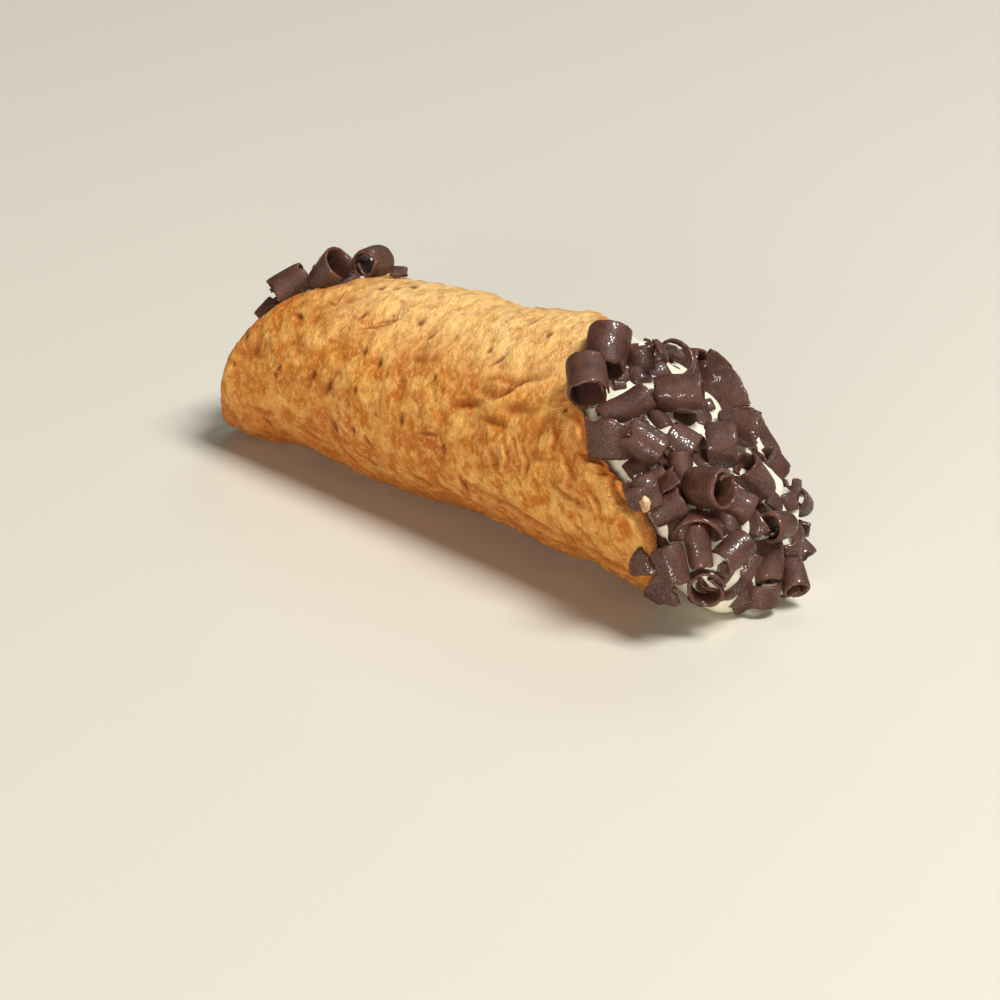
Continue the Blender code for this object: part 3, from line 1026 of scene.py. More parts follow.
    creases: tuple[Crease, ...] = rows(
        Crease,
        (((13.6, 123), (16.8, 121.5), (20.1, 121), (23.2, 126), (26.1, 134), (30.3, 138)),
         0.75, 1.2, 1),
        (((30.2, 103), (32.5, 96), (31.9, 88)), 0.45, 0.7, 0.9),
        (((37, 118), (38.6, 111), (38.4, 104)), 0.4, 0.6, 0.9),
        (((21.5, 97), (24.6, 86)), 0.4, 0.9), (((34.2, 90), (35.6, 84)), 0.5, 0.6),
        (((15, 127), (19, 131), (25, 130)), 0.35, 0.8, 0.8, 0.2),
        (((40, 124), (44, 120), (46, 114)), 0.35, 0.8, 0.7, 0.2),
        (((42, 104), (44.5, 98), (44, 92)), 0.4, 0.7, 0.9, 0.3),
        (((49, 94), (52.5, 88), (53, 81)), 0.4, 0.6, 0.9, 0.3),
        (((26, 101), (27.5, 95), (26.5, 89)), 0.35, 0.6, 0.9, 0.3),
        (((-52, 72), (-47, 68), (-43, 71)), 0.3, 0.7, 0.8, 0.3),
        (((-6, 62), (0, 57), (6, 58)), 0.4, 0.8, 0.9, 0.3),
        (((44, 60), (50, 54), (56, 52)), 0.45, 0.8, 1, 0.3),
        # next three rows, by the near rim: dark creases that paint the shadows of the curls above
        # it
        (((46.3, 107.5), (49.5, 106), (53.5, 105.5)), 0.8, 0.5, 0.5, 0.9),
        (((50.6, 101), (53.5, 102), (55.8, 102.5)), 0.6, 0.45),
        (((55, 100), (56, 96), (57.6, 92.5), (60, 90.5), (62.6, 88)), 1.00, 0.6, 0.9, 0.9),
        (((2, 92), (7.8, 94)), 0.35, 0.4, 0.8),
        (((7.7, 94), (9.3, 88), (7.8, 83)), 0.35, 0.4, 0.8),
        (((-19.5, 143), (-17, 147), (-14.6, 149)), 0.4, 0.4),
        (((-22.4, 137), (-18.4, 141), (-15.5, 146)), 0.35, 0.4, 0.9),
        (((-36.1, 149), (-33.1, 148), (-33.3, 158)), 0.3, 0.5, 0.9),
        (((-26.8, 76), (-25.9, 65), (-24.5, 54), (-22, 45)), 0.4, 0.6, 1),
        (((16, 70), (24.2, 66), (31.8, 60), (38.8, 54)), 0.45, 0.8, 0.8),
        (((-40, 66), (-34, 60), (-27, 58)), 0.35, 0.7, 0.8),
        (((38, 92), (43, 86), (50, 84)), 0.3, 0.6, 0.8),
    )
    patches: tuple[Patch, ...] = rows(
        Patch,
        (-50.4, 109, 4, 0.9), (-52, 100, 3, 0.5), (-3.2, 130, 4.5, 0.6), (-30, 62, 12, 0.5),
        (-45, 55, 10, 0.6), (0, 55, 14, 0.4), (25, 40, 12, 0.5), (43, 112, 5, 0.7),
        (47, 97, 5, 0.5), (-39, 136, 5, 0.5), (20, 105, 5, 0.4), (32, 104, 4, 0.5),
    )

    def reach_of(self, direction: Array) -> Array:
        """How far the disc's edge is from its middle.

        Args:
            direction: Angle on the flat disc, where 0 is +X and a quarter turn is the front.

        Returns:
            The distance, torn ends included.
        """
        degrees = np.degrees(direction)
        across, forth = np.sin(direction) / self.half_width, np.cos(direction) / self.half_length
        reach = 1.0 / np.hypot(forth, across)
        for hump in self.humps:
            reach += hump.height * bell(hump.centre, hump.width, degrees)
        for shelf in self.shelves:
            stands = smoothstep(*shelf.rise, degrees) - smoothstep(*shelf.fall, degrees)
            reach += shelf.height * stands
        for height, count, start in self.ripples:
            reach += height * np.sin(count * direction + start)
        return reach

    def radius_at(self, along: Array) -> Array:
        """Radius of the middle of the dough, which widens towards the near end."""
        return self.radius + self.taper * along

    def swell_at(self, along: Array, turn: Array) -> Array:
        """How far out the fried tube has swollen.

        Args:
            along: The way along the tube.
            turn: Angle from the bottom, positive to the front.

        Returns:
            The swelling, in metres.
        """
        ring = np.column_stack((along, self.radius * np.cos(turn), self.radius * np.sin(turn)))
        out = waves_at(ring, self.blisters)
        clock = np.degrees(turn) % 360.0
        for part in self.swells:
            across = bell(part.clock, part.spread, clock)
            out += part.height * bell(part.along, part.length, along) * across
        return out

    def seam_at(self, clock: Array) -> Array:
        """How far the front flap climbs or the back flap, with a negative clock, sinks.

        Args:
            clock: Degrees from the bottom, positive to the front.

        Returns:
            The way outwards, in metres.
        """
        front = self.front_climb * smoothstep(*self.front_ramp, clock)
        sink = self.front_climb - self.thickness - self.seam_gap
        return np.where(clock > 0.0, front, sink * smoothstep(*self.back_ramp, -clock))

    def place(self, along: Array, around: Array, outwards: Array) -> Array:
        """Where points of the flat disc lie once the dough is rolled.

        Args:
            along: The way along the tube.
            around: The way round it from the bottom, positive to the front.
            outwards: The way out from the middle of the dough.

        Returns:
            Points, one a row.
        """
        radius, half = self.radius_at(along), self.thickness / 2.0
        turn = around / radius
        reach = radius + self.swell_at(along, turn) + self.seam_at(np.degrees(turn)) + outwards
        height = radius + half - self.pressed_flat - reach * np.cos(turn)
        lowest = np.clip(half - outwards, 0.0, self.thickness)
        return np.column_stack((along, -reach * np.sin(turn), np.maximum(height, lowest)))

    def crease_marks(self, flat: Array, crease: Crease) -> tuple[Array, Array, Array]:
        """The relief of one crease.

        Args:
            flat: Points of the unrolled tube, one a row.
            crease: The crease.

        Returns:
            The relief in metres, how deep in the crease each point is, and how high on its lip.
        """
        places = np.array(crease.path) * (MM, 1.0)
        clocks = np.radians(places[:, 1])
        corners = np.column_stack((places[:, 0], clocks * self.radius_at(places[:, 0])))
        spans = np.linalg.norm(np.diff(corners, axis=0), axis=1)
        before = 0.0
        nearest, side, share = (np.full(len(flat), value) for value in (1.0, 0.0, 0.0))
        for start, end, span in zip(corners, corners[1:], spans):
            way = (end - start) / span
            offset = flat[:, :2] - start
            step = np.clip(offset @ way, 0.0, span)
            apart = np.linalg.norm(offset - np.outer(step, way), axis=1)
            closer = apart < nearest
            nearest = np.where(closer, apart, nearest)
            side = np.where(closer, way[0] * offset[:, 1] - way[1] * offset[:, 0], side)
            share = np.where(closer, (before + step) / spans.sum(), share)
            before += span
        swing = np.sqrt(np.sin(np.pi * np.clip(share, *self.crease_ends)))
        signed = np.sign(side) * nearest / (crease.width * MM)
        side_width = np.where(signed > 0.0, self.gentle_side, self.steep_side)
        dip = self.crease_dip * swing * bell(0.0, side_width, signed)
        lip = crease.lip * swing * bell(*self.lip_place, signed)
        deep = swing * bell(*self.deep_place, signed)
        return (self.crease_rise * lip - dip) * crease.depth * MM, deep, lip

    def pit_mark(self, flat: Array, pit: Pit | Dent) -> Array:
        """How deep in a burst bubble each point is, from 0 to 1.

        Args:
            flat: Points of the unrolled tube, one a row.
            pit: The bubble.

        Returns:
            One value a point.
        """
        heading = math.radians(pit.heading)
        forth = flat[:, 0] - pit.along * MM
        side = flat[:, 1] - math.radians(pit.clock) * self.radius_at(pit.along * MM)
        long_way = (forth * math.cos(heading) + side * math.sin(heading)) / (pit.length * MM)
        short_way = (side * math.cos(heading) - forth * math.sin(heading)) / (pit.width * MM)
        return np.exp(-((long_way**2 + short_way**2) ** 1.5))

    def dimples(self, flat: Array) -> Array:
        """Tiny hollows all over the skin, as how deep in one each point is, from 0 to 1.

        Args:
            flat: Points of the unrolled tube, one a row.

        Returns:
            One value a point.
        """
        dice = random.Random(23)
        deep = np.zeros(len(flat))
        for _ in range(self.dimple_count):
            middle = np.array((dice.uniform(-0.060, 0.060), dice.uniform(-0.065, 0.065)))
            size, stretch = dice.uniform(0.0003, 0.0008), dice.uniform(0.5, 1.0)
            strength = dice.uniform(0.3, 1.0)
            close = np.nonzero(np.abs(flat[:, 0] - middle[0]) < self.dimple_reach)[0]
            close = close[np.abs(flat[close, 1] - middle[1]) < self.dimple_reach]
            offset = (flat[close, :2] - middle) / (size, size * stretch)
            apart = np.hypot(offset[:, 0], offset[:, 1])
            deep[close] = np.maximum(deep[close], strength * np.exp(-(apart**3)))
        return deep

    def stray_pits(self) -> tuple[Pit, ...]:
        """Further burst bubbles on the sides that the named ones leave bare.

        Returns:
            The bubbles.
        """
        dice = random.Random(5)
        limits = ((-58.0, 50.0), (-178.0, 178.0), (0.5, 1.5), (0.4, 0.7), (0.0, 180.0))
        found = [Pit(*(dice.uniform(*pair) for pair in limits)) for _ in range(self.stray_count)]
        return tuple(pit for pit in found if pit.clock < 40.0 or pit.clock > 165.0)

    def flaky_at(self, along: Array, clock: Array) -> Array:
        """How flaky the skin is, from 0 to 1: most on the front near the mouth, and at the foot.

        Args:
            along: The way along the tube.
            clock: Degrees from the bottom, positive to the front.

        Returns:
            One value a point.
        """
        front = smoothstep(*self.flaky_above, clock) * smoothstep(*self.flaky_below, clock)
        flaky = smoothstep(*self.flaky_mouth, along) * front
        flaky += 0.8 * bell(*self.flaky_foot, clock) * smoothstep(*self.flaky_foot_from, along)
        return np.clip(flaky + 0.45 * smoothstep(*self.flaky_back, clock) + 0.15, 0.0, 1.0)

    def flakes_at(self, flat: Array) -> Array:
        """How much of a thin lifted flake lies at each point, from 0 to 1, with ragged edges.

        Args:
            flat: Points of the unrolled tube, one a row.

        Returns:
            One value a point.
        """
        level = waves_at(flat, self.flakes)
        thickness = 0.65 + 0.35 * smoothstep(*self.flake_top, level)
        return smoothstep(*self.flake_edge, level) * thickness

    def fry(self, flat: Array) -> Skin:
        """The skin before its creases and pits: lumps, bubbles, flakes, dimples and browning, with
        painted shade on the underside and in the dimples, and a pale top that is partly painted
        sheen.

        Args:
            flat: Points of the unrolled tube, one a row.

        Returns:
            The skin.
        """
        along = flat[:, 0]
        clock = np.degrees(flat[:, 1] / self.radius_at(along))
        full_clock = clock % 360.0
        flaky = self.flaky_at(along, clock) * self.flakes_at(flat)
        fine = waves_at(flat, self.bubbles) + self.flake_height * flaky
        low_edge = bell(*self.low_front, clock) + 0.6 * bell(*self.low_back, np.abs(clock))
        dimpled = self.dimples(flat)
        # the pale top, towards the far end: partly lighter dough, partly painted sheen
        bloom = smoothstep(*self.pale_from, full_clock) * smoothstep(*self.pale_to, full_clock)
        bloom *= smoothstep(*self.pale_near, along)
        # painted shade of the underside: darker low on the front and the back
        crust = smoothstep(*self.crust_front, full_clock) + smoothstep(*self.crust_back, full_clock)
        skin = Skin(len(flat))
        skin.relief = waves_at(flat, self.lumps) + fine + low_edge * waves_at(flat, self.foot_bumps)
        skin.relief -= self.dimple_depth * dimpled
        # the dimples are browner: painted shade in the tiny hollows
        skin.marks.update(
            ridge=0.65 * flaky,
            toast=0.8 * dimpled,
            height=np.clip(0.5 + fine / self.height_range, 0.0, 1.0),
            bloom=np.clip(bloom * (0.92 + waves_at(flat, self.bloom_patches)), 0.0, 1.0),
            crust=crust,
        )
        return skin

    def relief_at(self, flat: Array, direction: Array, share: Array) -> Skin:
        """The whole fried surface, with its creases, dents, burst bubbles, patches and browned rim,
        and the painted shade and highlight that its marks carry.

        Args:
            flat: Points of the unrolled tube, one a row.
            direction: Each point's angle on the flat disc.
            share: How far out on the disc each point is, from 0 to 1.

        Returns:
            The skin.
        """
        skin = self.fry(flat)
        for crease in self.creases:
            relief, deep, lip = self.crease_marks(flat, crease)
            skin.relief += relief
            # painted shade in the crease and painted highlight on its lip
            skin.at_least(pit=crease.dark * deep, toast=0.95 * deep, ridge=lip)
        for dent in self.dents:
            deep = self.pit_mark(flat, dent)
            skin.relief -= dent.depth * MM * deep
            # painted shade in the dent's hollow, painted highlight on a raised blister
            skin.at_least(toast=dent.toast * deep, ridge=dent.pale * deep, pit=dent.dark * deep)
        for pit in self.pits + self.stray_pits():
            deep = self.pit_mark(flat, pit)
            skin.relief -= self.pit_depth * deep
            # painted shade: each burst bubble is darkened
            skin.at_least(pit=deep)
        ragged = 0.75 + waves_at(flat, self.stain_edges)
        for patch in self.patches:
            middle = math.radians(patch.clock) * self.radius_at(patch.along * MM)
            apart = np.hypot(flat[:, 0] - patch.along * MM, flat[:, 1] - middle)
            skin.at_least(toast=patch.strength * bell(0.0, patch.size * MM, apart) * ragged)
        mouth = smoothstep(*self.mouth_front, np.abs(np.degrees(direction)))
        rim = smoothstep(*self.rim_from, share) * (0.45 + 0.55 * mouth)
        skin.at_least(toast=0.6 * rim, pit=rim * (0.28 + waves_at(flat, self.burnt_edges)))
        return skin

    def torn_rim(self, direction: Array, layer: float) -> Array:
        """How far the rim stands back where the dough is broken.

        Args:
            direction: Angles on the flat disc.
            layer: 0 at the outside of the dough and 1 at its inside.

        Returns:
            The distance, in metres.
        """
        level = np.full(direction.shape, layer * self.rim_layer)
        way = np.column_stack((direction * self.half_length, level, np.zeros(direction.shape)))
        degrees = np.degrees(direction)
        broken = smoothstep(*self.torn_rise, degrees) * smoothstep(*self.torn_fall, degrees)
        return broken * waves_at(way, self.torn, folded=True) + waves_at(way, self.ragged)

    def rings(self, direction: Array) -> list[Ring]:
        """The net's rings: over the outside, round the rim, and back along the inside.

        Args:
            direction: Angles on the flat disc of each ring's points.

        Returns:
            The rings in order.
        """
        edge = self.reach_of(direction) - self.rim_bulge
        hidden = np.linspace(self.inmost, self.seen_from, self.hidden_rings, endpoint=False)
        seen = np.linspace(self.seen_from, 1.0, self.outer_rings)
        inner = np.linspace(1.0, self.inmost, self.inner_rings)
        sides = []
        for shares, depth, layer in (((*hidden, *seen), 0.0, 1.0), (inner, 1.0, -1.0)):
            torn = self.torn_rim(direction, depth)
            sides.append([
                Ring(edge * share - torn * smoothstep(*self.edge_from, share), share, layer)
                for share in shares
            ])
        rim = []
        for turn in self.rim_rings:
            push = self.rim_bulge * math.sin(math.pi * turn) - self.torn_rim(direction, turn)
            rim.append(Ring(edge + push, 1.0, math.cos(math.pi * turn)))
        return [*sides[0], *rim, *sides[1]]

    def build(self) -> Piece:
        """Wraps the fine net.

        Returns:
            The dough.
        """
        direction = np.linspace(-np.pi, np.pi, self.columns, endpoint=False)
        rings = self.rings(direction)
        angle = np.tile(direction, len(rings))
        reach = np.concatenate([ring.reach for ring in rings])
        share = np.repeat([ring.share for ring in rings], self.columns)
        layer = np.repeat([ring.layer for ring in rings], self.columns)
        along, around = reach * np.cos(angle), reach * np.sin(angle)
        flat = np.column_stack((along, around, np.zeros(along.shape)))
        skin = self.relief_at(flat, angle, share)
        outwards = layer * self.thickness / 2.0 + skin.relief * np.clip(layer, 0.0, 1.0)
        vertices = self.place(kept_in(along), around, outwards)
        piece = mesh_object("rolled_dough", vertices, ring_faces(len(rings), self.columns))
        for name, values in skin.marks.items():
            mark(piece, name, values)
        return piece


def ring_faces(rings: int, columns: int) -> Faces:
    """Faces of a closed skin over rings of equal count, with the first and last ring filled.

    Args:
        rings: Number of rings.
        columns: Points on each.

    Returns:
        Vertex numbers of each face.
    """
    faces = [tuple(range(columns))]
    for first in range(0, (rings - 1) * columns, columns):
        for column in range(columns):
            here, after = first + column, first + (column + 1) % columns
            faces.append((here, here + columns, after + columns, after))
    last = (rings - 1) * columns
    faces.append(tuple(last + column for column in reversed(range(columns))))
    return faces


# ------------------------------------------------------------------ the chocolate curls


class Form(NamedTuple):
    """A kind of curl: its radius, its strip's width, its turn in degrees, and what changes."""

    radius: float
    width: float
    sweep: float
    growth: float = 0.0
    point: float = 0.0


class Kind(Enum):
    """The kinds of curl."""

    ROLL = Form(0.0030, 0.0085, 345.0)
    RING = Form(0.0036, 0.0045, 345.0)
    CUFF = Form(0.0032, 0.0075, 290.0)
    FAT = Form(0.0039, 0.0085, 330.0)
    QUILL = Form(0.0027, 0.0110, 345.0)
    SCROLL = Form(0.0022, 0.0055, 500.0, 0.0024)
    BOW = Form(0.0044, 0.0050, 410.0, -0.0018, 0.80)
    HOOP = Form(0.0048, 0.0070, 200.0)
    ARCH = Form(0.0044, 0.0040, 190.0)
    TILE = Form(0.0058, 0.0070, 110.0)
    PETAL = Form(0.0055, 0.0090, 130.0, 0.0, 0.75)
    FLAKE = Form(0.0060, 0.0070, 65.0)
    LEAF = Form(0.0060, 0.0078, 75.0, 0.0, 0.85)
    FAN = Form(0.0080, 0.0095, 95.0, 0.0, 0.93)
    SPLINTER = Form(0.0050, 0.0090, 35.0)


class Curl(NamedTuple):
    """How a curl lies: its kind and size, its axis's heading and tilt, and its back's roll.

    drawn is the kind that it is shaved as where that isn't its solid's, shift moves it, in
    millimetres, grow is how much larger than its solid it is shaved, and lie is the heading, tilt
    and roll that it is then laid at.
    """

    kind: Kind
    size: float
    heading: float
    tilt: float
    roll: float
    drawn: Kind | None = None
    shift: Spot = (0.0, 0.0, 0.0)
    grow: float = 1.0
    lie: Triple | None = None


class Rolled(NamedTuple):
    """A rolled strip as a mesh: its points, its faces and how near an edge each point is."""

    vertices: Array
    faces: Faces
    brink: Array


class Wear(NamedTuple):
    """What may be uneven along a strip, each as one number or as a value for each point.

    half is half its width, thick its wall and flare how much wider it is on one side. middle is
    how far it strays sideways, lean outwards, wander round its axis, and inward to its middle.
    """

    half: Array
    thick: Array | float
    flare: float
    middle: Array | float = 0.0
    lean: Array | float = 0.0
    wander: Array | float = 0.0
    inward: Array | float = 0.0


@dataclass
class CurledStrip:
    """A shaved strip of chocolate, thin and ragged, rolled up on an axis: Y, with its back on X."""

    form: Form
    seed: float
    wall: float = 0.00095
    solid_wall: float = 0.0008
    coarse_step: float = math.radians(28.0)
    net: float = 0.00042

    # how it is rolled: the two sides differ, and the end of a closed roll is tucked in
    flare: float = 0.05
    uneven_flare: float = 0.22
    stray: float = 0.30
    closed: float = 320.0
    tuck: float = 0.30
    tuck_depth: float = 0.0011
    tuck_ramp: Span = (0.06, -0.12)

    # its edges: frayed and chipped sides, torn ends, all thinner than the middle
    fray: Waves = rows(Wave, (1.0, 0.0021, 0.0), (0.6, 0.0008, 2.0))
    chips: Waves = rows(Wave, (1.0, 0.0030, 4.0))
    torn: Waves = rows(Wave, (0.0011, 0.0018, 6.0), (0.00055, 0.0007, 7.0))
    fray_depth: float = 0.09
    chip_depth: float = 0.75
    chip_level: float = 0.22
    end: float = 0.10
    thin_side: float = 0.45
    thin_end: float = 0.40
    brink_width: float = 0.03
    side_bulge: float = 1.03

    # its face: soft bends, and the fine grooves of the blade
    bends: Waves = rows(Wave, (0.00034, 0.0055, 8.0), (0.00008, 0.0018, 9.0))
    groove_sway: Waves = rows(Wave, (3.0, 0.004, 1.0))
    groove_depth: float = 0.000022
    groove_spacing: float = 0.00021

    def worn(self, size: float, share: Array, side: Array, half: Array) -> Wear:
        """The unevenness of the real strip.

        Args:
            size: The curl's size.
            share: The way along the strip, from 0 to 1.
            side: The way across it, from -1 to 1.
            half: Half its width while it is even.

        Returns:
            All that is uneven.
        """
        base = self.form.radius * size
        along = share * math.radians(self.form.sweep) * base
        none = np.zeros(share.shape)
        flat = np.column_stack((along, side * half, none))
        hem = np.column_stack((along, np.sign(side) * 0.01, none))
        tip = np.column_stack((np.sign(share - 0.5) * 0.01, flat[:, 1], none))
        own = noise_at(np.array(((self.seed, 0.3, 0.7), (0.2, self.seed, 0.9))), 1.7, 4.0)
        inward = none
        if self.form.sweep > self.closed:
            inward = self.tuck_depth * smoothstep(*self.tuck_ramp, share)
        first = share.min()
        start = smoothstep(first + self.end, first, share)
        end = np.maximum(start, smoothstep(1.0 - self.end, 1.0, share))
        fray = self.fray_depth * np.abs(waves_at(hem, self.fray, self.seed))
        chips = np.clip(waves_at(hem, self.chips, self.seed) - self.chip_level, 0.0, 1.0)
        half = half * (1.0 - fray - self.chip_depth * chips)
        torn = waves_at(tip, self.torn, self.seed, folded=True)
        sway = waves_at(flat, self.groove_sway, self.seed)
        grooves = self.groove_depth * np.sin(along / self.groove_spacing + sway)
        thinned = (1.0 - self.thin_side * np.abs(side) ** 6) * (1.0 - self.thin_end * end)
        return Wear(
            half=half,
            thick=self.wall * thinned,
            flare=self.flare + self.uneven_flare * own[0],
            middle=half * self.stray * own[1] * (share - 0.5),
            lean=waves_at(flat, self.bends, self.seed) + grooves,
            wander=-np.sign(share - 0.5) * end * torn / base,
            inward=inward,
        )

    def strip(self, size: float, share: Array, side: Array, wall: Array, ragged: bool) -> Array:
        """Points of the rolled strip in its own frame.

        Args:
            size: The curl's size.
            share: The way along the strip, from 0 to 1.
            side: The way across it, from -1 to 1.
            wall: The way through it, from -1 inside to 1 outside.
            ragged: Whether it is the real uneven strip and not the frame's smooth one.

        Returns:
            Points, one a row.
        """
        form = self.form
        half = form.width * size / 2.0 * (1.0 - form.point * (1.0 - share) ** 2)
        wear = Wear(half, self.solid_wall, self.flare)
        if ragged:
            wear = self.worn(size, share, side, half)
        angle = math.radians(form.sweep) * (share - 0.5) + wear.wander
        radius = form.radius * size - wear.inward + form.growth * size * share
        radius = radius * (1.0 + wear.flare * side) + wall * wear.thick / 2.0 + wear.lean
        across = wear.middle + side * wear.half
        return np.column_stack((radius * np.cos(angle), across, radius * np.sin(angle)))

    def coarse(self, size: float) -> Array:
        """The corners that the frame's solid has at this size, in its own frame.

        Args:
            size: The curl's size.

        Returns:
            The corners, one a row.
        """
        steps = max(2, round(math.radians(self.form.sweep) / self.coarse_step))
        net = np.meshgrid(np.linspace(0.0, 1.0, steps + 1), (-1.0, 1.0), (-1.0, 1.0), indexing="ij")
        share, side, wall = (way.ravel() for way in net)
        return self.strip(size, share, side, wall, False)

    def roll(self, size: float) -> Rolled:
        """Rolls the real strip on a fine net.

        Args:
            size: The curl's size.

        Returns:
            The mesh in the strip's own frame.
        """
        form = self.form
        first = -self.tuck if form.sweep > self.closed and not form.growth else 0.0
        length = math.radians(form.sweep) * (form.radius + form.growth / 2.0) * size
        steps = max(5, round(length * (1.0 - first) / self.net))
        cells = max(4, round(form.width * size / self.net))
        sides = np.linspace(-1.0, 1.0, cells + 1)
        loop_side = np.array((*sides, self.side_bulge, *sides[::-1], -self.side_bulge))
        loop_wall = np.array((*np.ones(cells + 1), 0.0, *-np.ones(cells + 1), 0.0))
        count = len(loop_side)
        share = np.repeat(np.linspace(first, 1.0, steps + 1), count)
        side, wall = np.tile(loop_side, steps + 1), np.tile(loop_wall, steps + 1)
        first_end, last_end = (bell(end, self.brink_width, share) for end in (first, 1.0))
        faces: Faces = []
        for start in range(0, steps * count, count):
            for step in range(count):
                here, after = start + step, start + (step + 1) % count
                faces.append((here, after, after + count, here + count))
        far = 2 * cells + 2
        caps: Faces = [(step, step + 1, far - 1 - step, far - step) for step in range(cells)]
        caps += [(cells, cells + 1, cells + 2), (far, count - 1, 0)]
        faces += [corners[::-1] for corners in caps]
        faces += [tuple(steps * count + number for number in corners) for corners in caps]
        vertices = self.strip(size, share, side, wall, True)
        brink = np.maximum(np.abs(side) ** 10, np.maximum(first_end, last_end))
        return Rolled(vertices, faces, brink)


def own_frame(axis: Vector, back: Vector) -> Array:
    """The turn that lays a strip's Y on this axis and its back, X, this way, as a 3 by 3 array."""
    return np.array(Matrix((back, axis, back.cross(axis))).transposed())


def turned(heading: float, tilt: float, roll: float) -> Array:
    """How a curl's own frame lies on the cannoli.

    Args:
        heading: Its axis's heading, in degrees.
        tilt: Its axis's tilt.
        roll: How its back is rolled round the axis from the top.

    Returns:
        The turn, as a 3 by 3 array.
    """
    level = math.cos(math.radians(tilt))
    across, forth = math.cos(math.radians(heading)), math.sin(math.radians(heading))
    axis = Vector((level * across, level * forth, math.sin(math.radians(tilt))))
    upright = (Vector((0.0, 0.0, 1.0)) - axis * axis.z).normalized()
    return own_frame(axis, Matrix.Rotation(math.radians(roll), 3, axis) @ upright)


def box_of(node: str) -> Array:
    """The low and the high corner of a node's solid."""
    return np.array(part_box(node))


@dataclass
class Curls:
    """All the curls, each group in the order of the frame's nodes."""

    near: tuple[Curl, ...] = rows(
        Curl,
        (Kind.PETAL, 1.08, 45, 15, -160, Kind.FAN, (1.2, 0.5, 0.2), 0.92, (45, 15, -112)),
        (Kind.FAT, 0.93, 120, 45, -25, None, (0.3, 0, -1.2)), (Kind.FAT, 0.88, -40, -30, 75),
        (Kind.QUILL, 0.86, -115, -25, 0),
        (Kind.TILE, 0.88, 160, 80, -30, None, (-0.2, -2.2, 0.2), 1.22),
        (Kind.HOOP, 0.7, 155, 75, -90),
        (Kind.SCROLL, 0.88, -55, 50, -175, Kind.BOW, (-0.4, -1.6, -1), 1.08, (-50, 38, -175)),
        (Kind.ROLL, 1, 40, 5, 50), (Kind.HOOP, 0.79, 30, -30, -10),
        (Kind.ROLL, 0.86, 30, -30, 25), (Kind.HOOP, 0.84, 45, 5, 50),
        (Kind.ROLL, 0.88, 35, -5, -5), (Kind.SPLINTER, 0.56, 15, -50, -35),
        (Kind.FLAKE, 1.12, 15, -50, 5), (Kind.HOOP, 0.7, -135, 55, -15),
        (Kind.ROLL, 0.88, -105, 55, -90), (Kind.ROLL, 0.7, -70, 35, -30),
        (Kind.SPLINTER, 0.84, 120, 65, 90, Kind.FLAKE, (0, -1, -3)),
        (Kind.HOOP, 0.65, -155, 70, -110), (Kind.QUILL, 0.65, 150, 65, -15),
        (Kind.ROLL, 0.7, 55, 25, 25), (Kind.ROLL, 0.56, 55, 20, 20), (Kind.FAT, 0.84, 5, 10, 130),
        (Kind.SPLINTER, 0.93, 20, -45, -35), (Kind.ROLL, 0.79, 45, -30, 15),
        (Kind.ROLL, 0.93, -85, 10, -30), (Kind.ARCH, 0.93, -50, -5, 0),
        (Kind.QUILL, 0.78, 155, 60, -55), (Kind.ROLL, 0.82, -100, -25, -5),
        (Kind.FLAKE, 0.79, 60, 30, 50), (Kind.ROLL, 0.79, 170, 55, -30),
        (Kind.FLAKE, 0.7, 15, -50, 90, Kind.LEAF), (Kind.FLAKE, 0.88, 5, -55, 90, Kind.LEAF),
        (Kind.RING, 0.93, -45, -5, 90), (Kind.FLAKE, 0.7, 80, 55, 45),
        (Kind.ROLL, 0.84, 145, 55, -10), (Kind.HOOP, 0.76, 20, 85, 115),
        (Kind.ROLL, 0.86, -30, -35, -25), (Kind.HOOP, 0.58, 0, -45, -55),
        (Kind.FLAKE, 0.84, 30, -10, 115),
    )
    back: tuple[Curl, ...] = rows(
        Curl,
        (Kind.ROLL, 0.88, 30, 20, 0), (Kind.HOOP, 0.74, -40, 30, 0),
        (Kind.ROLL, 0.93, 80, -10, 0, None, (-1.5, -0.5, -3.5)), (Kind.ROLL, 0.84, 10, 50, 0),
        (Kind.TILE, 0.84, 60, 10, -40), (Kind.ROLL, 0.84, 20, 15, 0, None, (-0.8, 1, -2.6)),
        (Kind.TILE, 0.79, 110, -20, 0), (Kind.ROLL, 0.79, -70, 20, 0),
    )
    far: tuple[Curl, ...] = rows(
        Curl,
        (Kind.ROLL, 0.88, 60, 30, 30), (Kind.CUFF, 0.95, 15, 45, 0),
        (Kind.ROLL, 0.88, 105, -10, 0), (Kind.FLAKE, 0.52, 45, 0, 15),
        (Kind.FLAKE, 0.65, 65, 35, 10), (Kind.ROLL, 0.88, 70, 30, 0),
        (Kind.ROLL, 0.93, 110, 10, 0), (Kind.HOOP, 0.79, 30, 30, 0), (Kind.FAT, 0.84, 60, -20, 0),
        (Kind.TILE, 0.79, 140, 10, 0),
    )
    plump: float = 1.06
    shrinks: tuple[float, ...] = (1.0, 0.94, 0.88, 0.82, 0.76)
    seed_step: float = 3.1

    def size_of(self, curl: Curl, node: str) -> float:
        """Finds the size that the frame's solid has.

        Args:
            curl: The curl.
            node: Its node.

        Returns:
            The size.
        """
        low, high = box_of(node)
        strip, turn = CurledStrip(curl.kind.value, 0.0), turned(curl.heading, curl.tilt, curl.roll)
        misses = []
        for shrink in self.shrinks:
            corners = strip.coarse(curl.size * shrink) @ turn.T
            misses.append(float(np.abs(np.ptp(corners, axis=0) - (high - low)).sum()))
        best = int(np.argmin(misses))
        size = curl.size * self.shrinks[best]
        LOG.info("%s: size %.2f, fits its solid to %.2f mm", node, size, misses[best] / MM)
        return size

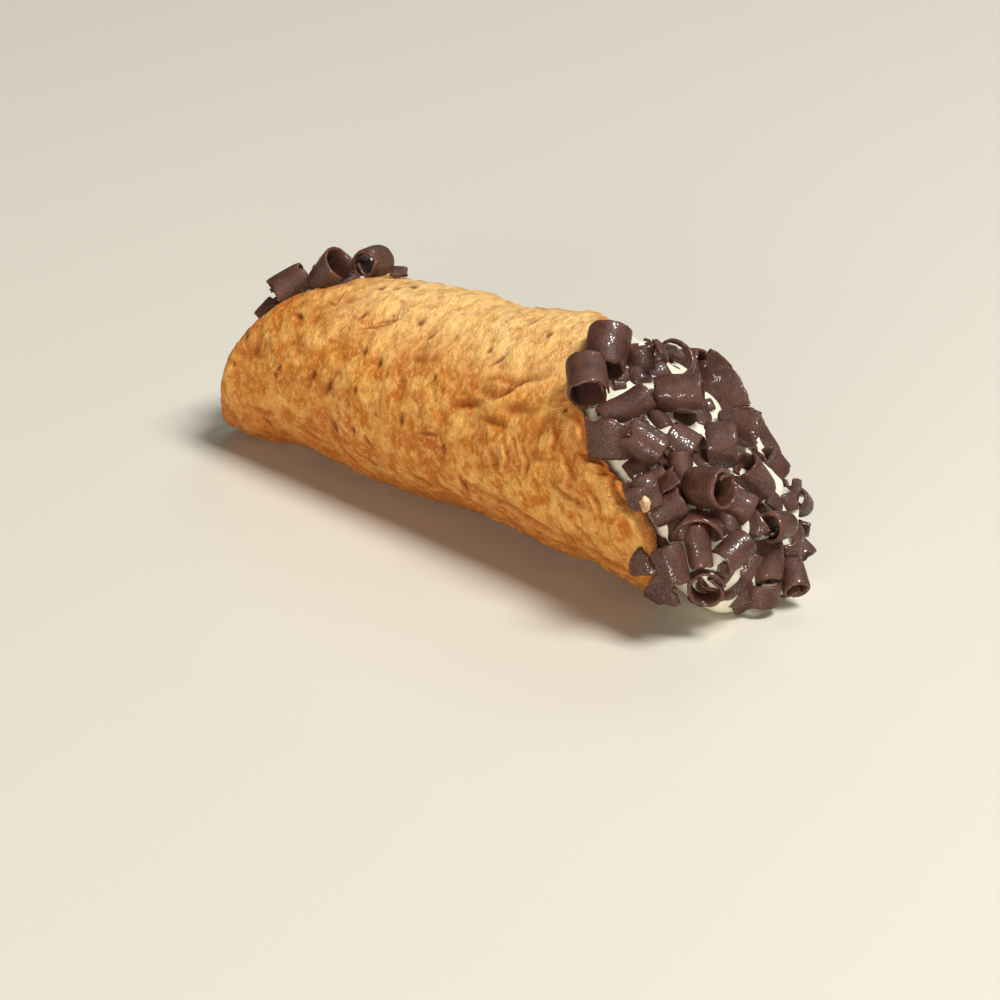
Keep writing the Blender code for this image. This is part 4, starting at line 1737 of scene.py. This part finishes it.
    def shave(self, curl: Curl, node: str, seed: float) -> Piece:
        """Rolls one curl and lays it where the frame has it.

        Args:
            curl: The curl.
            node: Its node.
            seed: Makes its raggedness its own.

        Returns:
            The curl.
        """
        strip = CurledStrip((curl.drawn or curl.kind).value, seed)
        rolled = strip.roll(self.size_of(curl, node) * self.plump * curl.grow)
        lie = curl.lie or (curl.heading, curl.tilt, curl.roll)
        laid = rolled.vertices @ turned(*lie).T
        laid += (box_of(node).sum(0) - laid.max(0) - laid.min(0)) / 2.0
        laid += np.array(curl.shift) * MM
        piece = mesh_object(node + "_shaved", in_box(laid), rolled.faces)
        mark(piece, "edge", rolled.brink)
        return piece

    def build(self, material: Material) -> list[Piece]:
        """Rolls every curl.

        Args:
            material: The chocolate.

        Returns:
            The curls.
        """
        pieces: list[Piece] = []
        for group, curls in (("near", self.near), ("back", self.back), ("far", self.far)):
            for number, curl in enumerate(curls, start=1):
                node = f"{group}_curl_{number:02d}"
                piece = self.shave(curl, node, self.seed_step * len(pieces))
                dress(piece, material, [node])
                pieces.append(piece)
        return pieces


# ------------------------------------------------------------------ the cream


@dataclass
class PipedCream:
    """The filling: smooth cream, grown up between the curls and out to the dough."""

    net: float = 0.0007
    weld: float = 0.00001
    rise: float = 0.0016
    climb: float = 0.0016
    cling: float = 0.0014
    lumps: Waves = rows(Wave, (0.0007, 0.0075, 2.0))
    curl_reach: float = 0.004
    dough_reach: float = 0.006
    dough_share: float = 0.85
    floor_gap: float = 0.0002
    smoothing_before: int = 4
    smoothing_after: int = 5

    def solid(self) -> Piece:
        """A copy of the frame's filling, welded and given an even fine net.

        Returns:
            The copy.
        """
        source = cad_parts["filling"]
        mesh = source.data.copy()
        net = bmesh.new()
        net.from_mesh(mesh)
        bmesh.ops.remove_doubles(net, verts=net.verts, dist=self.weld)
        net.to_mesh(mesh)
        net.free()
        copy = bpy.data.objects.new("piped_cream", mesh)
        copy.matrix_world = source.matrix_world
        bpy.context.scene.collection.objects.link(copy)
        remesh = copy.modifiers.new("even_net", "REMESH")
        remesh.mode = "VOXEL"
        remesh.voxel_size = self.net
        evaluated = copy.evaluated_get(bpy.context.evaluated_depsgraph_get())
        even = bpy.data.meshes.new_from_object(evaluated)
        copy.modifiers.clear()
        copy.data = even
        bpy.data.meshes.remove(mesh)
        return copy

    def smooth(self, piece: Piece, times: int) -> None:
        """Evens out the cream's surface.

        Args:
            piece: The cream.
            times: How often each point moves half way to its neighbours.
        """
        every_way = {"use_axis_x": True, "use_axis_y": True, "use_axis_z": True}
        net = bmesh.new()
        net.from_mesh(piece.data)
        for _ in range(times):
            bmesh.ops.smooth_vert(net, verts=net.verts, factor=0.5, **every_way)
        net.to_mesh(piece.data)
        net.free()

    def build(self, dough: Piece, curls: Sequence[Piece]) -> Piece:
        """Grows the cream out from the frame's solid.

        Args:
            dough: The dough around it.
            curls: The curls that are pressed into it.

        Returns:
            The cream.
        """
        piece = self.solid()
        self.smooth(piece, self.smoothing_before)
        points = points_of(piece.data)
        normals = read_rows(piece.data.vertex_normals, "vector")
        near_curl = distances(tree_of(curls), points, self.curl_reach)
        lift = self.rise + waves_at(points, self.lumps)
        lift += self.climb * bell(0.0, self.cling, near_curl)
        room = distances(tree_of([dough]), points, self.dough_reach) * self.dough_share
        grown = points + normals * np.minimum(lift, room)[:, None]
        grown[:, 0] = kept_in(grown[:, 0])
        grown[:, 2] = np.maximum(grown[:, 2], self.floor_gap)
        move_points(piece.data, grown)
        piece.data.update()
        self.smooth(piece, self.smoothing_after)
        piece.data.shade_smooth()
        return piece


# ------------------------------------------------------------------ what lies on the cream


class Chip(NamedTuple):
    """A broken chip on the cream: its kind, size and spot, the spin of its axis, and its stand-off.

    The spot is in millimetres, and the chip lies on the cream nearest to it. Spin is degrees about
    the cream's own direction, lean tips it over, also in degrees, and lift is in millimetres.
    """

    kind: Kind
    size: float
    spot: Spot
    spin: float
    lean: float = 0.0
    lift: float = 0.4


class Bare(NamedTuple):
    """A spot where the cream shows, in millimetres, with its radius."""

    spot: Spot
    radius: float


@dataclass
class BrokenChips:
    """The chips and shards that fill the gaps between the curls, joined into one piece."""

    chips: tuple[Chip, ...] = rows(
        Chip,
        (Kind.TILE, 0.62, (41.2, -6.8, 40.1), 30, 10),
        (Kind.HOOP, 0.5, (43, -3.9, 39.7), 80, -20, 1),
        (Kind.FLAKE, 0.62, (42.8, 2.1, 38.9), 20, 15),
        (Kind.TILE, 0.55, (43.5, -1.5, 40), 60, 40, 6.8),
        (Kind.ROLL, 0.58, (52.7, -7.6, 35), 100, 0, 0.8),
        (Kind.HOOP, 0.6, (53.6, -1.8, 33.8), 20, 10, 0.8),
        (Kind.TILE, 0.62, (53.8, 2.9, 32.7), 60), (Kind.FLAKE, 0.55, (60.4, -5.2, 30.7), 30, 20),
        (Kind.TILE, 0.55, (62.2, -6.8, 29.4), 110, -15),
        (Kind.FLAKE, 0.5, (60.6, 10.1, 25.9), 75, 10),
        (Kind.TILE, 0.65, (56.9, -18.7, 30.1), 40, -10),
        (Kind.FLAKE, 0.6, (59.6, -14.1, 30.3), 130, 15), (Kind.TILE, 0.6, (69, 7, 18.1), 20, 15),
        (Kind.HOOP, 0.52, (67.9, 12.2, 16.7), 80, 10, 0.8),
        (Kind.TILE, 0.6, (71.5, -11.8, 22.9), 150, 10),
        (Kind.HOOP, 0.55, (72.8, -11.1, 20.9), 70, -15, 0.8),
        (Kind.FLAKE, 0.55, (65.8, -20.5, 18.1), 10, 10),
        (Kind.HOOP, 0.58, (69.8, -20.3, 21.7), 100, 0, 0.8),
        (Kind.TILE, 0.52, (72.8, -15.3, 20.8), 35, -20),
        (Kind.TILE, 0.62, (71.3, 10.3, 11.3), 15, 0),
        (Kind.HOOP, 0.52, (72.1, 8.9, 9.7), 95, 20, 0.9),
        (Kind.TILE, 0.62, (75.8, -14.7, 13.2), 60, 10),
        (Kind.TILE, 0.58, (73.7, -10.7, 7.5), 120, -15),
        (Kind.HOOP, 0.6, (73.9, -6.7, 8.5), 20, 10, 0.8), (Kind.TILE, 0.62, (72.9, -6.1, 5.2), 90),
        (Kind.FLAKE, 0.52, (71.8, -5.4, 2.4), 30, 10),
        (Kind.FLAKE, 0.6, (71.7, -15.5, 9), 60, 0, 0.2),
        (Kind.TILE, 0.7, (64.5, -22, 28.5), 130, 25, 4.2),
        (Kind.FLAKE, 0.8, (66, -21, 30), 40, -30, 4.8),
    )
    bare: tuple[Bare, ...] = rows(
        Bare,
        ((64.4, -21.2, 20.4), 2.4), ((61.6, 4.2, 27.7), 2.6), ((57.7, 15.7, 24.5), 2.4),
        ((68.5, 4.3, 19.3), 1.6), ((67.4, 9.8, 19.8), 1.8), ((72.1, -12, 3), 3.6),
        ((71, -17, 5), 3.4), ((43, -16, 36), 2.2), ((46, -10, 38), 1.6),
    )
    wall: float = 0.0008
    shards: int = 90
    tries: int = 9000
    shard_kinds: tuple[Kind, ...] = (Kind.FLAKE, Kind.TILE, Kind.SPLINTER, Kind.FLAKE)
    shard_sizes: Span = (0.16, 0.42)
    shard_lean: float = 35.0
    shard_lift: float = 0.3
    shard_spacing: float = 0.0021
    clear_of_dough: float = 0.0016
    clear_of_curls: float = 0.0004

    def laid(self, chip: Chip, seed: float, on: tuple[Vector, Vector]) -> Rolled:
        """Rolls a chip and lays it on the cream, its back outwards.

        Args:
            chip: The chip.
            seed: Makes its raggedness its own.
            on: The cream's point and direction there.

        Returns:
            The chip's mesh in place.
        """
        point, out = on
        across = Vector((0.0, 0.0, 1.0)).cross(out).normalized()
        axis = Matrix.Rotation(math.radians(chip.spin), 3, out) @ across
        back = Matrix.Rotation(math.radians(chip.lean), 3, axis) @ out
        form = chip.kind.value
        rolled = CurledStrip(form, seed, wall=self.wall).roll(chip.size)
        place = np.array(point + out * (chip.lift * MM)) - np.array(back) * form.radius * chip.size
        return rolled._replace(vertices=rolled.vertices @ own_frame(axis, back).T + place)

    def taken(self, point: Vector, chosen: list[Vector], dough: BVHTree, curls: BVHTree) -> bool:
        """Whether a shard has no place here.

        Args:
            point: A point of the cream.
            chosen: Where shards lie already.
            dough: The dough's surface.
            curls: The curls' surfaces.

        Returns:
            Whether it is next to a shard, on cream that shows, or under the dough or a curl.
        """
        if any((point - other).length < self.shard_spacing for other in chosen):
            return True
        if any((point - Vector(bare.spot) * MM).length < bare.radius * MM for bare in self.bare):
            return True
        near_dough = dough.find_nearest(point, self.clear_of_dough)[0]
        return bool(near_dough or curls.find_nearest(point, self.clear_of_curls)[0])

    def spread(self, cream: BVHTree, dough: BVHTree, curls: BVHTree, points: Array) -> list[Rolled]:
        """Small shards on the bare cream of both ends.

        Args:
            cream: The cream's surface.
            dough: The dough's surface.
            curls: The curls' surfaces.
            points: The cream's points.

        Returns:
            The shards' meshes in place.
        """
        dice = random.Random(11)
        chosen: list[Vector] = []
        found = []
        for _ in range(self.tries):
            if len(chosen) >= self.shards:
                break
            spot = Vector(points[dice.randrange(len(points))])
            point, out, _, _ = cream.find_nearest(spot)
            size, spin = dice.uniform(*self.shard_sizes), dice.uniform(0.0, 180.0)
            lean = dice.uniform(-self.shard_lean, self.shard_lean)
            kind = dice.choice(self.shard_kinds)
            if self.taken(point, chosen, dough, curls):
                continue
            chosen.append(point)
            shard = Chip(kind, size, tuple(spot), spin, lean, self.shard_lift)
            found.append(self.laid(shard, 50.0 + 1.7 * len(chosen), (point, out)))
        return found

    def build(self, cream: Piece, dough: Piece, curls: Sequence[Piece]) -> Piece:
        """Lays every chip and joins them.

        Args:
            cream: The cream that they lie on.
            dough: The dough around it.
            curls: The curls between which they lie.

        Returns:
            The chips.
        """
        surface = tree_of([cream])
        parts = []
        for number, chip in enumerate(self.chips):
            point, out, _, _ = surface.find_nearest(Vector(chip.spot) * MM)
            parts.append(self.laid(chip, 9.0 + 2.3 * number, (point, out)))
        parts += self.spread(surface, tree_of([dough]), tree_of(curls), points_of(cream.data))
        faces: Faces = []
        first = 0
        for part in parts:
            faces += [tuple(first + number for number in face) for face in part.faces]
            first += len(part.vertices)
        vertices = np.concatenate([part.vertices for part in parts])
        piece = mesh_object("broken_chips", in_box(vertices), faces)
        mark(piece, "edge", np.concatenate([part.brink for part in parts]))
        return piece


@dataclass
class NutCrumb:
    """The crumb of chopped nut that is caught on the curls."""

    spot: Spot = (67.9, -28.1, 28.6)
    sizes: Triple = (0.0011, 0.0008, 0.0014)
    sunk: float = 0.5
    cuts: int = 4
    girth: float = 0.95
    lumps: Waves = rows(Wave, (0.38, 0.75, 3.0))
    knobs: Waves = rows(Wave, (0.25, 0.35, 5.0))
    broken_face: Triple = (0.8, 0.3, 0.5)
    broken_at: float = 0.85

    def build(self, curls: Sequence[Piece]) -> Piece:
        """Chops the crumb and sets it on the nearest curl.

        Args:
            curls: The curls.

        Returns:
            The crumb.
        """
        net = bmesh.new()
        bmesh.ops.create_icosphere(net, subdivisions=self.cuts, radius=1.0)
        mesh = bpy.data.meshes.new("nut_crumb")
        net.to_mesh(mesh)
        net.free()
        ball = points_of(mesh)
        point, out, _, _ = tree_of(curls).find_nearest(Vector(self.spot) * MM)
        reach = self.girth + waves_at(ball, self.lumps) + waves_at(ball, self.knobs, folded=True)
        facing = np.abs(ball @ np.array(self.broken_face)).clip(0.01)
        reach = np.minimum(reach, self.broken_at / facing)
        place = np.array(point + out * self.sizes[1] * self.sunk)
        move_points(mesh, ball * reach[:, None] * np.array(self.sizes) + place)
        return placed("nut_crumb", mesh)


# ------------------------------------------------------------------ the studio


class Lamp(NamedTuple):
    """A soft light: bearing, height and distance from the middle, its sizes, power and colour."""

    name: str
    azimuth: float
    elevation: float
    distance: float
    width: float
    tallness: float
    power: float
    colour: Colour = (1.0, 1.0, 1.0)


@dataclass
class Studio:
    """A plain pale floor, soft lights and the camera."""

    azimuth: float = 44.9
    elevation: float = 23.05
    distance: float = 0.700
    lens: float = 124.92
    nearest: float = 0.01
    target: Spot = (0.00051, 0.00239, 0.0)
    floor_size: float = 8.0
    daylight: Colour = (1.0, 0.99, 0.97)
    daylight_strength: float = 0.08
    backdrop_strength: float = 0.85
    lamps: tuple[Lamp, ...] = rows(
        Lamp,
        ("key_light", 102.0, 60.0, 2.4, 0.85, 0.85, 77.0, (1.0, 0.99, 0.975)),
        ("front_fill", 30.0, 9.5, 2.6, 1.6, 0.8, 52.0, (1.0, 0.93, 0.82)),
        ("back_light", 200.0, 40.0, 2.4, 1.0, 1.0, 8.0),
    )

    def away(self, azimuth: float, elevation: float, distance: float) -> Vector:
        """The point at this bearing from the target, where azimuth 0 is the front.

        Args:
            azimuth: The bearing, in degrees.
            elevation: The height, in degrees.
            distance: Metres from the target.

        Returns:
            The point.
        """
        bearing, height = math.radians(azimuth), math.radians(elevation)
        level = math.cos(height)
        way = Vector((math.sin(bearing) * level, -math.cos(bearing) * level, math.sin(height)))
        return Vector(self.target) + way * distance

    def aim(self, name: str, kind: bpy.types.ID, spot: Vector) -> Piece:
        """Puts a light or a camera at a spot, looking at the target.

        Args:
            name: Its name.
            kind: The light or the camera.
            spot: Where it goes.

        Returns:
            The placed object.
        """
        thing = bpy.data.objects.new(name, kind)
        thing.location = spot
        thing.rotation_euler = (Vector(self.target) - spot).to_track_quat("-Z", "Y").to_euler()
        bpy.context.scene.collection.objects.link(thing)
        return thing

    def lay_floor(self, material: Material) -> None:
        """Lays the floor, which is no part of the cannoli.

        Args:
            material: The floor's finish.
        """
        half = self.floor_size / 2.0
        signs = ((-1, -1), (1, -1), (1, 1), (-1, 1))
        corners = np.array([(across * half, forth * half, 0.0) for across, forth in signs])
        floor = mesh_object("floor", corners, [(0, 1, 2, 3)])
        floor.data.materials.append(material)

    def light_up(self) -> None:
        """Sets the lamps, and a world that lights less than it shows behind the cannoli."""
        for lamp in self.lamps:
            light = bpy.data.lights.new(lamp.name, "AREA")
            light.shape = "RECTANGLE"
            light.size, light.size_y = lamp.width, lamp.tallness
            light.energy, light.color = lamp.power, lamp.colour
            self.aim(lamp.name, light, self.away(lamp.azimuth, lamp.elevation, lamp.distance))
        world = bpy.data.worlds.new("daylight")
        world.use_nodes = True
        tree = world.node_tree
        sky = tree.nodes["Background"].inputs
        sky["Color"].default_value = (*self.daylight, 1.0)
        seen = tree.nodes.new("ShaderNodeLightPath").outputs["Is Camera Ray"]
        extra = self.backdrop_strength - self.daylight_strength
        strength = maths(tree, "MULTIPLY_ADD", seen, extra, self.daylight_strength)
        tree.links.new(strength, sky["Strength"])
        bpy.context.scene.world = world

    def build(self, floor_material: Material) -> None:
        """Sets up the floor, the lights, the world and the camera.

        Args:
            floor_material: The floor's finish.
        """
        self.lay_floor(floor_material)
        self.light_up()
        camera = bpy.data.cameras.new("camera")
        camera.lens = self.lens
        camera.clip_start = self.nearest
        spot = self.away(self.azimuth, self.elevation, self.distance)
        scene = bpy.context.scene
        scene.camera = self.aim("camera", camera, spot)
        scene.view_settings.view_transform = "Standard"


# ------------------------------------------------------------------ the whole cannoli


def main() -> None:
    """Builds the studio, the dough, the curls and the cream in turn."""
    logging.basicConfig(level=logging.INFO, format="%(name)s: %(message)s")
    finishes = build_finishes()
    Studio().build(finishes["floor"])
    dough = RolledDough().build()
    dress(dough, finishes["pastry"], ["shell"])
    curls = Curls().build(finishes["chocolate"])
    cream = PipedCream().build(dough, curls)
    dress(cream, finishes["cream"], ["filling"])
    dress(BrokenChips().build(cream, dough, curls), finishes["chocolate"], [])
    dress(NutCrumb().build(curls), finishes["nut"], [])


if __name__ == "__main__":
    main()
